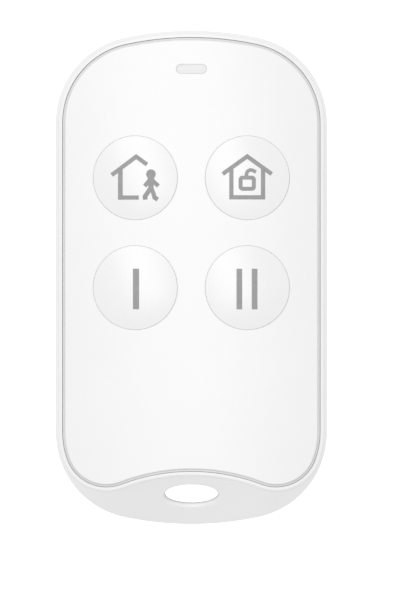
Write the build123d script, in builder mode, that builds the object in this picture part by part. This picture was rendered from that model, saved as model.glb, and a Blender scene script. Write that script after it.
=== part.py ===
from build123d import *
import os
from math import asin, cos, degrees, radians, sin, sqrt, tan

# Alarm key fob with four round buttons, in millimetres.
# The fob lies on its back: X runs across it, Y runs from the key ring end to the status light
# end, and Z points out of the front. The origin is the middle of the flat back.

# Overall form, seen from the front
fob_width = 34.0
fob_length = 61.8
body_thickness = 12.4
corner_radius = 10.9
end_radius = 40.0
back_round = 4.0

# The front face is a shallow crown, curved more across than along
crown_radius_across = 100.0
crown_radius_along = 450.0

# The front cover lies inside a narrow rim. Its lower edge is a wave: a crest in the middle and
# a dip on each side, and beyond it the body slopes away as a chin to the key ring end.
rim_reveal = 1.02
rim_land = 0.5
seam_gap = 0.32
seam_depth = 0.29
rim_step = 0.3
chin_length = 6.77
chin_slope_angle = 44.0
crest_radius = 24.7
dip_radius = 5.08
rim_round = 0.2
cover_round = 0.15

# Walls and the joint between the covers
wall = 1.9
floor_thickness = 1.3
floor_round = 2.2
cover_thickness = 1.5
parting_from_front = 4.0
skirt_clearance = 0.05
tongue_clearance = 0.1
tongue_thickness = 0.7
tongue_depth = 0.9

# Key ring eye, sized and placed along the chin's length
eye_width = 6.65
eye_height_share = 0.34
eye_place_share = 0.57
eye_round = 0.4

# Hooks at the light end of the front cover, and their pockets in the rear cover
hook_spacing = 12.0
hook_width = 3.0
hook_nose_height = 0.6
hook_reach = 0.6
hook_above_board = 0.25
hook_clearance = 0.1

# Buttons, in two columns that take up the same shares of any width
button_width_share = 0.309
button_spacing_share = 0.412
button_gap_y = 3.23
button_group_y = 5.575
button_clearance = 0.02
button_rise = 0.6
button_dome_radius = 25.0
button_round = 0.06
button_roof = 1.3
button_wall = 1.1
button_rib = 0.7
flange_width = 0.85
flange_thickness = 0.7
flange_gap = 0.05
flange_rise = 0.5
stem_diameter = 2.6
stem_play = 0.02
collar_width = 1.15
key_width = 1.2
key_depth = 0.35
key_drop = 0.95
key_clearance = 0.1

# Status light window
window_from_end = 4.83
window_length = 3.8
window_height = 1.17
window_clearance = 0.02
window_sink = 0.04
window_pad_depth = 0.3
pipe_flange_side = 1.9
pipe_flange_edge = 0.9
pipe_flange_thickness = 0.6
pipe_flange_round = 0.6
pipe_light_gap = 0.15
stake_from_window = 1.0
stake_diameter = 0.8
stake_clearance = 0.1
stake_stand = 0.3

# Coin cell, its cradle and its contacts. The can's wall, seal and rounding share its height.
cell_from_side = 7.0
cell_from_front = 7.15
cell_centre_y = 5.0
cell_clearance = 0.3
cell_round_share = 0.15625
cell_cap_margin = 1.3
cell_cap_rise = 0.2
cell_seal_width = 0.5
cell_seal_depth_share = 0.140625
cell_can_thickness_share = 0.078125
cradle_wall = 0.8
cradle_below_cell_top = 1.35
strap_width = 8.0
strap_thickness = 0.3
strap_floor_gap = 0.45
strap_bend_radius = 0.5
strap_side_clearance = 1.9
strap_leg_gap = 1.0
strap_foot = 2.2
contact_diameter = 8.0
contact_thickness = 0.1

# Circuit board, its posts and the cover screws
board_thickness = 1.0
board_clearance = 0.3
board_end_gap = 2.55
board_round = 0.8
post_from_side = 5.6
post_from_end = 9.1
post_diameter = 3.2
pin_diameter = 1.2
pin_stand = 0.5
pin_clearance = 0.1
rib_thickness = 0.8
rib_rest = 1.0
rib_spacing = 21.0
rib_middle_y = 1.8
screw_from_side = 6.6
screw_from_board_end = 4.4
screw_diameter = 1.95
screw_end_from_front = 2.9
screw_point = 0.8
screw_head_diameter = 3.6
screw_head_height = 1.2
screw_head_round = 0.5
screw_slot_length = 2.0
screw_slot_width = 0.5
screw_slot_depth = 0.7
screw_hole_clearance = 0.2
screw_head_clearance = 0.2
screw_head_sink = 0.3
pilot_diameter = 1.7
pilot_roof = 1.8
screw_post_wall = 1.2
screw_boss_wall = 1.35

# Switches
switch_width = 5.2
switch_base_height = 1.1
switch_well_floor = 0.4
switch_well_diameter = 4.2
switch_corner = 0.4
switch_cover_thickness = 0.2
switch_tab_width = 1.6
switch_tab_height = 0.9
switch_height = 2.0
plunger_diameter = 2.4
plunger_flange_diameter = 3.4
plunger_flange_thickness = 0.25
plunger_clearance = 0.1
plunger_round = 0.15
dome_diameter = 3.8
dome_height = 0.4
dome_thickness = 0.08
leg_width = 0.7
leg_thickness = 0.15
leg_height = 0.6
leg_reach = 0.8
leg_spacing = 3.7

# Radio and control parts on the board
radio_from_control_chip = 5.5
radio_chip_width = 4.0
radio_chip_height = 0.85
radio_mark_diameter = 0.4
radio_mark_depth = 0.05
control_chip_from_board_end = 3.6
control_chip_length = 4.9
control_chip_width = 3.9
control_chip_height = 1.4
control_chip_stand = 0.1
control_chip_taper_angle = 7.0
lead_count = 4
lead_pitch = 1.27
lead_width = 0.4
lead_thickness = 0.2
lead_reach = 1.0
lead_foot = 0.5
crystal_x = -6.0
crystal_length = 3.2
crystal_width = 2.5
crystal_base_height = 0.45
crystal_can_height = 0.3
crystal_can_margin = 0.15
crystal_can_round = 0.5
chip_part_length = 1.6
chip_part_width = 0.8
capacitor_height = 0.7
capacitor_from_radio = 3.2
capacitor_pitch = 1.6
capacitor_count = 4
resistor_height = 0.45
resistor_pitch = 1.8
resistor_rows = 3
inductor_x = 5.6
inductor_length = 2.0
inductor_width = 1.25
inductor_height = 0.9
inductor_pitch = 2.1
inductor_count = 2
led_length = 1.6
led_width = 0.8
led_base_height = 0.3
led_lens_length = 1.0
led_height = 0.6
antenna_from_side = 8.3
antenna_from_end = 8.3
antenna_wire_diameter = 0.8
antenna_below_buttons = 0.6
antenna_bend_radius = 1.0
antenna_tail = 0.4
antenna_hole_clearance = 0.1

# How far a cutting shape runs past what it cuts
overrun = 2.0

# Places worked out from the sizes above
half_width = fob_width / 2
half_length = fob_length / 2
land_inset = rim_reveal - seam_gap / 2 - rim_land
recess_inset = rim_reveal - seam_gap / 2
cover_inset = rim_reveal + seam_gap / 2
skirt_inset = recess_inset + skirt_clearance
tongue_inset = wall + tongue_clearance
tongue_inner_inset = tongue_inset + tongue_thickness
board_inset = wall + board_clearance
parting_height = body_thickness - parting_from_front

cell_diameter = fob_width - 2 * cell_from_side
strap_top = floor_thickness + strap_floor_gap + strap_thickness
cell_top = body_thickness - cell_from_front
cell_height = cell_top - strap_top
board_bottom = cell_top + contact_thickness
board_top = board_bottom + board_thickness
switch_top = board_top + switch_height
flange_bottom = switch_top + flange_rise
collar_bottom = flange_bottom + flange_thickness + flange_gap

eye_height = chin_length * eye_height_share
eye_y = chin_length * eye_place_share - half_length
crest_from_middle = half_length - chin_length
board_end_y = wall - rim_reveal - crest_from_middle + board_end_gap
control_chip_y = board_end_y + control_chip_from_board_end
radio_chip_y = control_chip_y + radio_from_control_chip

screw_seat = screw_head_sink + screw_head_height
screw_length = body_thickness - screw_end_from_front - screw_seat
screw_x = half_width - screw_from_side
screw_y = board_end_y + screw_from_board_end
screw_places = [(-screw_x, screw_y), (screw_x, screw_y)]
screw_boss_radius = pilot_diameter / 2 + screw_boss_wall
post_x = half_width - post_from_side
post_y = half_length - post_from_end
post_places = [(-post_x, post_y), (post_x, post_y)]
antenna_x = half_width - antenna_from_side
antenna_y = half_length - antenna_from_end
antenna_places = [(-antenna_x, antenna_y), (antenna_x, antenna_y)]

window_y = half_length - window_from_end
pipe_flange_length = window_length + 2 * pipe_flange_side
pipe_flange_height = window_height + 2 * pipe_flange_edge
stake_x = window_length / 2 + stake_from_window
stake_places = [(-stake_x, window_y), (stake_x, window_y)]

button_diameter = fob_width * button_width_share
button_radius = button_diameter / 2
button_spacing_y = button_diameter + button_gap_y
row_high = button_group_y + button_spacing_y / 2
row_low = button_group_y - button_spacing_y / 2
column = fob_width * button_spacing_share / 2
button_places = {
    "arm": (-column, row_high),
    "disarm": (column, row_high),
    "one": (-column, row_low),
    "two": (column, row_low),
}

os.makedirs("parts", exist_ok=True)


# Outline of the fob, at any inset from its outer edge
# The plain outline has two long end arcs, four corner arcs and two straight sides. The waved
# one ends in the crest and the dips. All insets share the same arc centres, so every curve
# of the seam, the rim and the walls runs parallel to the others.

end_centre = Vector(0, half_length - end_radius)
corner_x = half_width - corner_radius
corner_y = end_centre.Y + sqrt((end_radius - corner_radius) ** 2 - corner_x**2)
corner_centre = Vector(corner_x, corner_y)
low_corner_centre = Vector(corner_x, -corner_y)
crest_centre = Vector(0, -crest_from_middle - crest_radius)


def meeting_point(centre_a, radius_a, centre_b, radius_b):
    """The point where two circles cross, on the left of the way from the first to the second."""
    way = centre_b - centre_a
    along = (radius_a**2 - radius_b**2 + way.length**2) / (2 * way.length)
    aside = sqrt(radius_a**2 - along**2)
    ahead = way.normalized()
    return centre_a + ahead * along + Vector(-ahead.Y, ahead.X) * aside


dip_centre = meeting_point(
    low_corner_centre, corner_radius - rim_reveal - dip_radius, crest_centre, crest_radius + dip_radius
)


def fob_outline(inset, waved=True):
    """The outline as a face: half of it is drawn from the light end round to the key ring end."""
    corner_r = corner_radius - inset
    dip_r = dip_radius + rim_reveal - inset
    end_to_corner = corner_centre + (corner_centre - end_centre).normalized() * corner_r
    with BuildSketch() as drawn:
        with BuildLine():
            end = TangentArc((0, half_length - inset), end_to_corner, tangent=(1, 0))
            corner = TangentArc(end @ 1, (half_width - inset, corner_y), tangent=end % 1)
            side = Line(corner @ 1, (half_width - inset, -corner_y))
            if waved:
                corner_to_dip = low_corner_centre + (dip_centre - low_corner_centre).normalized() * corner_r
                dip_to_crest = dip_centre + (crest_centre - dip_centre).normalized() * dip_r
                low_corner = TangentArc(side @ 1, corner_to_dip, tangent=side % 1)
                dip = TangentArc(low_corner @ 1, dip_to_crest, tangent=low_corner % 1)
                crest_y = inset - rim_reveal - crest_from_middle
                TangentArc(dip @ 1, (0, crest_y), tangent=dip % 1)
            else:
                corner_to_end = (end_to_corner.X, -end_to_corner.Y)
                low_corner = TangentArc(side @ 1, corner_to_end, tangent=side % 1)
                TangentArc(low_corner @ 1, (0, inset - half_length), tangent=low_corner % 1)
            mirror(about=Plane.YZ)
        make_face()
    return drawn.sketch


def outline_band(outer_inset, inner_inset, places, width):
    """The stretches of the band between two insets at the light end that lie at the given places."""
    with BuildSketch() as band:
        add(fob_outline(outer_inset))
        add(fob_outline(inner_inset), mode=Mode.SUBTRACT)
        with Locations(*[(x, half_length / 2) for x in places]):
            Rectangle(width, half_length, align=(Align.CENTER, Align.MIN), mode=Mode.INTERSECT)
    return band.sketch


# The crown of the front face
# A shallow parabola across the fob, turned about a far axis below it, gives a surface that is
# curved both ways. Lowered by a drop it runs alongside the front face, for the cover's underside.

crown_pivot = body_thickness - crown_radius_along


def crown_fall(x):
    """How far the parabola lies below its peak."""
    return x**2 / (2 * crown_radius_across)


def crown_height(x, y):
    """Height of the front face over a point of the back."""
    return crown_pivot + sqrt((crown_radius_along - crown_fall(x)) ** 2 - y**2)


def crown_normal(x, y):
    """Direction square to the front face over a point of the back."""
    away_from_pivot = Vector(0, y, crown_height(x, y) - crown_pivot).normalized()
    return (away_from_pivot + Vector(x / crown_radius_across, 0, 0)).normalized()


def under_crown(drop):
    """All the space under the front face, or under a lower one that runs alongside it."""
    reach = half_width + overrun
    turn = degrees(asin((half_length + overrun) / crown_radius_along))
    peak = crown_radius_along - drop
    edge = peak - crown_fall(reach)
    base = crown_radius_along - body_thickness - overrun
    first_slice = Plane(
        origin=(0, 0, crown_pivot), x_dir=(1, 0, 0), z_dir=(0, -cos(radians(turn)), sin(radians(turn)))
    )
    with BuildPart() as space:
        with BuildSketch(first_slice):
            with BuildLine():
                Bezier((-reach, edge), (0, 2 * peak - edge), (reach, edge))
                Polyline((reach, edge), (reach, base), (-reach, base), (-reach, edge))
            make_face()
        revolve(axis=Axis((0, 0, crown_pivot), (1, 0, 0)), revolution_arc=2 * turn)
    return space.part


def crowned_slab(inset, drop, foot):
    """The waved outline at an inset, from a level up to the front face or its parallel."""
    with BuildPart() as slab:
        with BuildSketch(Plane.XY.offset(foot)):
            add(fob_outline(inset))
        extrude(amount=body_thickness)
        add(under_crown(drop), mode=Mode.INTERSECT)
    return slab.part


# Chin and bevel
# The rim stands upright over a low step that follows the crowned face. Below it the waved
# outline grows outwards in a slope down to the back. The slope leaves the body at once along
# the sides, as a narrow bevel, and late at the key ring end, as the broad chin.

step_height = crown_height(half_width - land_inset, corner_y) - rim_step
slope_foot_inset = land_inset - step_height / tan(radians(chin_slope_angle))

with BuildPart() as rim_core:
    with BuildSketch():
        add(fob_outline(land_inset))
    extrude(amount=body_thickness)
    add(under_crown(rim_step), mode=Mode.INTERSECT)

slope_foot = fob_outline(slope_foot_inset).face().outer_wire()
slope_top = rim_core.faces().sort_by(Axis.Z)[-1].outer_wire()
rim_top = fob_outline(land_inset).face().outer_wire().moved(Location((0, 0, body_thickness)))
with BuildPart() as chin_form:
    add(Solid.make_loft([slope_foot, slope_top, rim_top], ruled=True))

# Space for the works inside the rear cover, with a rounded foot
with BuildPart() as cavity:
    with BuildSketch(Plane.XY.offset(floor_thickness)):
        add(fob_outline(wall))
    extrude(amount=parting_height - floor_thickness + overrun)
    fillet(cavity.faces().sort_by(Axis.Z)[0].edges(), floor_round)


# Hooks reach this far down and out, and their pockets follow them
hook_bottom = board_top + hook_above_board
hook_inset = wall - hook_reach
hook_columns = (-hook_spacing / 2, hook_spacing / 2)

# Rear cover: tub with rim, chin and eye, board posts, screw posts and the cell's cradle
with BuildPart() as rear_cover:
    with BuildSketch():
        add(fob_outline(0, waved=False))
    extrude(amount=body_thickness)
    fillet(rear_cover.faces().sort_by(Axis.Z)[0].edges(), back_round)
    add(chin_form.part, mode=Mode.INTERSECT)
    add(under_crown(0), mode=Mode.INTERSECT)
    fillet(rear_cover.faces().sort_by(Axis.Z)[-1].outer_wire().edges(), rim_round)

    # Key ring eye, with rounded lips
    with BuildSketch():
        with Locations((0, eye_y)):
            Ellipse(eye_width / 2, eye_height / 2)
    extrude(amount=body_thickness, mode=Mode.SUBTRACT)
    eye_edges = rear_cover.edges().filter_by_position(
        Axis.Y, eye_y - eye_height / 2, eye_y + eye_height / 2
    ).filter_by_position(Axis.X, -eye_width / 2, eye_width / 2)
    fillet(eye_edges.filter_by(lambda edge: abs((edge @ 0).X - (edge @ 1).X) < eye_round), eye_round)

    # Recess that the front cover drops into, and the cavity below its ledge
    with BuildSketch(Plane.XY.offset(parting_height)):
        add(fob_outline(recess_inset))
    extrude(amount=body_thickness, mode=Mode.SUBTRACT)
    add(cavity.part, mode=Mode.SUBTRACT)

    # Board posts with locating pins
    with BuildSketch(Plane.XY.offset(floor_thickness)):
        with Locations(*post_places):
            Circle(post_diameter / 2)
    extrude(amount=board_bottom - floor_thickness)
    with BuildSketch(Plane.XY.offset(board_bottom)):
        with Locations(*post_places):
            Circle(pin_diameter / 2)
    extrude(amount=board_thickness + pin_stand)

    # Ribs that carry the edges of the board
    with BuildSketch(Plane.XY.offset(floor_thickness)):
        with Locations((0, rib_middle_y)):
            with GridLocations(fob_width - 2 * wall - rib_rest, rib_spacing, 2, 2):
                Rectangle(rib_rest + 2 * board_clearance, rib_thickness)
    extrude(amount=board_bottom - floor_thickness)

    # Cradle round the cell, open on both sides for the strap
    cell_radius = cell_diameter / 2
    cradle_radius = cell_radius + cell_clearance
    with BuildSketch(Plane.XY.offset(floor_thickness)):
        with Locations((0, cell_centre_y)):
            Circle(cradle_radius + cradle_wall)
            Circle(cradle_radius, mode=Mode.SUBTRACT)
            Rectangle(fob_width, strap_width + 2 * strap_side_clearance, mode=Mode.SUBTRACT)
    extrude(amount=cell_top - cradle_below_cell_top - floor_thickness)

    # Screw posts, bored from the back with a wide mouth for the screw head
    screw_bore = screw_diameter / 2 + screw_hole_clearance
    head_bore = screw_head_diameter / 2 + screw_head_clearance
    head_bore_depth = screw_head_sink + screw_head_height
    with BuildSketch(Plane.XY.offset(floor_thickness)):
        with Locations(*screw_places):
            Circle(screw_bore + screw_post_wall)
    extrude(amount=board_bottom - floor_thickness)
    with Locations(*[Plane(origin=(x, y, 0), z_dir=(0, 0, -1)) for x, y in screw_places]):
        CounterBoreHole(screw_bore, head_bore, head_bore_depth, board_bottom)

    # Pockets for the hooks, in the end wall
    pocket_inset = hook_inset - hook_clearance
    pocket_width = hook_width + 2 * hook_clearance
    with BuildSketch(Plane.XY.offset(hook_bottom - hook_clearance)):
        add(outline_band(pocket_inset, tongue_inset, hook_columns, pocket_width))
    extrude(amount=hook_nose_height + 2 * hook_clearance, mode=Mode.SUBTRACT)
rear_cover.part.label = "rear_cover"
export_step(rear_cover.part, "parts/rear_cover.step")


# Window pad, pipe flange and key ribs hang below the front face at these levels
pad_edge_x = pipe_flange_length / 2
pad_edge_y = window_y + pipe_flange_height / 2
pad_bottom = crown_height(pad_edge_x, pad_edge_y) - cover_thickness - window_pad_depth
pilot_top = crown_height(screw_x, screw_y) - pilot_roof
collar_bore = button_radius + button_clearance
flange_radius = button_radius + flange_width
key_outer = flange_radius + key_clearance
key_inner = key_outer - key_depth - key_clearance

# Skirt of the front cover, which fills the recess of the tub up to the foot of the seam
with BuildPart() as skirt:
    add(crowned_slab(skirt_inset, seam_depth, parting_height))
    add(crowned_slab(tongue_inset, 0, parting_height), mode=Mode.SUBTRACT)

# Front cover: crowned plate with a skirt, a tongue that stands inside the tub's wall, and hooks
with BuildPart() as front_cover:
    with BuildSketch(Plane.XY.offset(parting_height)):
        add(fob_outline(cover_inset))
    extrude(amount=body_thickness)
    add(crowned_slab(tongue_inner_inset, cover_thickness, parting_height - overrun), mode=Mode.SUBTRACT)

    # Collars that guide the buttons
    with BuildSketch(Plane.XY.offset(collar_bottom)):
        with Locations(*button_places.values()):
            Circle(collar_bore + collar_width)
    extrude(amount=body_thickness - collar_bottom)

    # Key ribs that keep the buttons from turning
    with BuildSketch(Plane.XY.offset(collar_bottom - key_drop)):
        for x, y in button_places.values():
            with Locations((x, y - (key_inner + key_outer) / 2)):
                Rectangle(key_width, key_outer - key_inner)
    extrude(amount=body_thickness - collar_bottom)

    # Bosses that the screws bite into
    with BuildSketch(Plane.XY.offset(board_top)):
        with Locations(*screw_places):
            Circle(screw_boss_radius)
    extrude(amount=body_thickness - board_top)

    # Flat pad that the light pipe seats against
    with BuildSketch(Plane.XY.offset(pad_bottom)):
        with Locations((0, window_y)):
            RectangleRounded(pipe_flange_length, pipe_flange_height, pipe_flange_round)
    extrude(amount=body_thickness - pad_bottom)

    # The crown cuts all of it off, and the skirt's lower step leaves the seam
    add(under_crown(0), mode=Mode.INTERSECT)
    fillet(front_cover.faces().sort_by(Axis.Z)[-1].outer_wire().edges(), cover_round)
    add(skirt.part)

    # Tongue inside the tub's wall
    with BuildSketch(Plane.XY.offset(parting_height - tongue_depth)):
        add(fob_outline(tongue_inset))
        add(fob_outline(tongue_inner_inset), mode=Mode.SUBTRACT)
    extrude(amount=tongue_depth)

    # Hooks: arms that carry on from the tongue, with noses that point outwards
    with BuildSketch(Plane.XY.offset(hook_bottom)):
        add(outline_band(tongue_inset, tongue_inner_inset, hook_columns, hook_width))
    extrude(amount=parting_height - hook_bottom)
    with BuildSketch(Plane.XY.offset(hook_bottom)):
        add(outline_band(hook_inset, tongue_inner_inset, hook_columns, hook_width))
    extrude(amount=hook_nose_height)

    # Button holes right through plate and collars
    with BuildSketch(Plane.XY.offset(collar_bottom)):
        with Locations(*button_places.values()):
            Circle(collar_bore)
    extrude(amount=body_thickness, mode=Mode.SUBTRACT)

    # Slot for the light pipe
    with BuildSketch(Plane.XY.offset(board_top)):
        with Locations((0, window_y)):
            SlotOverall(window_length + 2 * window_clearance, window_height + 2 * window_clearance)
    extrude(amount=body_thickness, mode=Mode.SUBTRACT)

    # Stakes that hold the light pipe's flange
    with BuildSketch(Plane.XY.offset(pad_bottom - pipe_flange_thickness - stake_stand)):
        with Locations(*stake_places):
            Circle(stake_diameter / 2)
    extrude(amount=pipe_flange_thickness + stake_stand)

    # Pilot holes in the bosses
    with BuildSketch(Plane.XY.offset(board_top)):
        with Locations(*screw_places):
            Circle(pilot_diameter / 2)
    extrude(amount=pilot_top - board_top, mode=Mode.SUBTRACT)
front_cover.part.label = "front_cover"
export_step(front_cover.part, "parts/front_cover.step")


# Buttons: domed caps with a flange below the collar and a stem down to the switch
for name, (x, y) in button_places.items():
    apex = crown_height(x, y) + button_rise
    dome_centre = Vector(x, y, crown_height(x, y)) - crown_normal(x, y) * (button_dome_radius - button_rise)
    roof = apex - button_roof
    with BuildPart() as button_cap:
        with BuildSketch(Plane.XY.offset(flange_bottom)):
            with Locations((x, y)):
                Circle(button_radius)
        extrude(amount=body_thickness)
        with Locations(dome_centre):
            Sphere(button_dome_radius, mode=Mode.INTERSECT)
        fillet(button_cap.faces().sort_by(Axis.Z)[-1].edges(), button_round)
        with BuildSketch(Plane.XY.offset(flange_bottom)):
            with Locations((x, y)):
                Circle(flange_radius)
        extrude(amount=flange_thickness)

        # Hollow underside with four ribs between wall and stem
        with BuildSketch(Plane.XY.offset(flange_bottom)):
            with Locations((x, y)):
                Circle(button_radius - button_wall)
                Rectangle(button_diameter, button_rib, mode=Mode.SUBTRACT)
                Rectangle(button_rib, button_diameter, mode=Mode.SUBTRACT)
                Circle(stem_diameter / 2, mode=Mode.SUBTRACT)
        extrude(amount=roof - flange_bottom, mode=Mode.SUBTRACT)
        with BuildSketch(Plane.XY.offset(switch_top + stem_play)):
            with Locations((x, y)):
                Circle(stem_diameter / 2)
        extrude(amount=flange_bottom - switch_top - stem_play)

        # Notch for the key rib
        with BuildSketch(Plane.XY.offset(flange_bottom)):
            with Locations((x, y - key_inner + key_clearance)):
                Rectangle(
                    key_width + 2 * key_clearance, flange_width + overrun, align=(Align.CENTER, Align.MAX)
                )
        extrude(amount=flange_thickness, mode=Mode.SUBTRACT)
    button_cap.part.label = f"{name}_button_cap"
    export_step(button_cap.part, f"parts/{name}_button_cap.step")


# Light pipe: a clear slot-shaped bar from the status light to the front face
with BuildPart() as light_pipe:
    led_top = board_top + led_height
    with BuildSketch(Plane.XY.offset(led_top + pipe_light_gap)):
        with Locations((0, window_y)):
            SlotOverall(window_length, window_height)
    extrude(amount=body_thickness)
    with BuildSketch(Plane.XY.offset(pad_bottom - pipe_flange_thickness)):
        with Locations((0, window_y)):
            RectangleRounded(pipe_flange_length, pipe_flange_height, pipe_flange_round)
    extrude(amount=pipe_flange_thickness)
    add(under_crown(window_sink), mode=Mode.INTERSECT)
    with BuildSketch(Plane.XY.offset(pad_bottom - pipe_flange_thickness)):
        with Locations(*stake_places):
            Circle(stake_diameter / 2 + stake_clearance)
    extrude(amount=pipe_flange_thickness, mode=Mode.SUBTRACT)
light_pipe.part.label = "light_pipe"
export_step(light_pipe.part, "parts/light_pipe.step")


# Cover screws: pan heads with a cross recess, driven up from the back
with BuildPart() as cover_screws:
    head_seat = head_bore_depth
    with BuildSketch(Plane.XY.offset(head_seat - screw_head_height)):
        with Locations(*screw_places):
            Circle(screw_head_diameter / 2)
    extrude(amount=screw_head_height)
    fillet(cover_screws.edges().group_by(Axis.Z)[0], screw_head_round)
    with BuildSketch(Plane.XY.offset(head_seat - screw_head_height)):
        with Locations(*screw_places):
            Rectangle(screw_slot_length, screw_slot_width)
            Rectangle(screw_slot_width, screw_slot_length)
    extrude(amount=screw_slot_depth, mode=Mode.SUBTRACT)
    with BuildSketch(Plane.XY.offset(head_seat)):
        with Locations(*screw_places):
            Circle(screw_diameter / 2)
    extrude(amount=screw_length)
    chamfer(cover_screws.edges().group_by(Axis.Z)[-1], screw_point, screw_diameter / 4)
cover_screws.part.label = "cover_screws"
export_step(cover_screws.part, "parts/cover_screws.step")


# Circuit board: follows the cavity and ends in a straight cut before the chin
with BuildPart() as circuit_board:
    board_width = fob_width - 2 * board_inset
    with BuildSketch(Plane.XY.offset(board_bottom)):
        add(fob_outline(board_inset))
        with Locations((0, board_end_y)):
            RectangleRounded(
                board_width, fob_length, board_round, align=(Align.CENTER, Align.MIN), mode=Mode.INTERSECT
            )
        with Locations(*screw_places):
            Circle(screw_bore, mode=Mode.SUBTRACT)
        with Locations(*post_places):
            Circle(pin_diameter / 2 + pin_clearance, mode=Mode.SUBTRACT)
        with Locations(*antenna_places):
            Circle(antenna_wire_diameter / 2 + antenna_hole_clearance, mode=Mode.SUBTRACT)
    extrude(amount=board_thickness)
circuit_board.part.label = "circuit_board"
export_step(circuit_board.part, "parts/circuit_board.step")


# Coin cell: a can that is rolled in over a seal, its filling, and a cap that stands a little proud
cell_round = cell_height * cell_round_share
cell_seal_depth = cell_height * cell_seal_depth_share
cell_can_thickness = cell_height * cell_can_thickness_share
cell_rim_height = cell_height - cell_cap_rise
cell_cap_radius = cell_radius - cell_cap_margin
cell_well_radius = cell_cap_radius + cell_seal_width
cell_seal_z = strap_top + cell_rim_height - cell_seal_depth

with BuildPart() as coin_cell_core:
    with BuildSketch(Plane.XY.offset(strap_top + cell_can_thickness)):
        with Locations((0, cell_centre_y)):
            Circle(cell_radius - cell_can_thickness)
    extrude(amount=cell_rim_height - cell_seal_depth - cell_can_thickness)
    fillet(coin_cell_core.edges().group_by(Axis.Z)[0], cell_round - cell_can_thickness)
coin_cell_core.part.label = "coin_cell_core"
export_step(coin_cell_core.part, "parts/coin_cell_core.step")

with BuildPart() as coin_cell_can:
    with BuildSketch(Plane.XY.offset(strap_top)):
        with Locations((0, cell_centre_y)):
            Circle(cell_radius)
    extrude(amount=cell_rim_height)
    fillet(coin_cell_can.edges(), cell_round)
    with BuildSketch(Plane.XY.offset(cell_seal_z)):
        with Locations((0, cell_centre_y)):
            Circle(cell_well_radius)
    extrude(amount=cell_seal_depth, mode=Mode.SUBTRACT)
    add(coin_cell_core.part, mode=Mode.SUBTRACT)
coin_cell_can.part.label = "coin_cell_can"
export_step(coin_cell_can.part, "parts/coin_cell_can.step")

with BuildPart() as coin_cell_seal:
    with BuildSketch(Plane.XY.offset(cell_seal_z)):
        with Locations((0, cell_centre_y)):
            Circle(cell_well_radius)
            Circle(cell_cap_radius, mode=Mode.SUBTRACT)
    extrude(amount=cell_seal_depth)
coin_cell_seal.part.label = "coin_cell_seal"
export_step(coin_cell_seal.part, "parts/coin_cell_seal.step")

with BuildPart() as coin_cell_cap:
    with BuildSketch(Plane.XY.offset(cell_seal_z)):
        with Locations((0, cell_centre_y)):
            Circle(cell_cap_radius)
    extrude(amount=cell_seal_depth + cell_cap_rise)
    fillet(coin_cell_cap.edges().group_by(Axis.Z)[-1], cell_cap_rise / 2)
coin_cell_cap.part.label = "coin_cell_cap"
export_step(coin_cell_cap.part, "parts/coin_cell_cap.step")


# Battery clip: a bent strap under the cell, soldered to the underside of the board
with BuildPart() as battery_clip:
    strap_x = cell_radius + strap_leg_gap + strap_thickness / 2
    foot_x = strap_x + strap_foot
    strap_z = strap_top - strap_thickness / 2
    foot_z = board_bottom - strap_thickness / 2
    with BuildSketch(Plane.XZ.offset(-cell_centre_y)):
        with BuildLine():
            FilletPolyline(
                (-foot_x, foot_z),
                (-strap_x, foot_z),
                (-strap_x, strap_z),
                (strap_x, strap_z),
                (strap_x, foot_z),
                (foot_x, foot_z),
                radius=strap_bend_radius,
            )
        trace(line_width=strap_thickness)
    extrude(amount=strap_width / 2, both=True)
battery_clip.part.label = "battery_clip"
export_step(battery_clip.part, "parts/battery_clip.step")

# Contact pad between the cell's cap and the board
with BuildPart() as negative_contact:
    with BuildSketch(Plane.XY.offset(cell_top)):
        with Locations((0, cell_centre_y)):
            Circle(contact_diameter / 2)
    extrude(amount=contact_thickness)
negative_contact.part.label = "negative_contact"
export_step(negative_contact.part, "parts/negative_contact.step")


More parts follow.
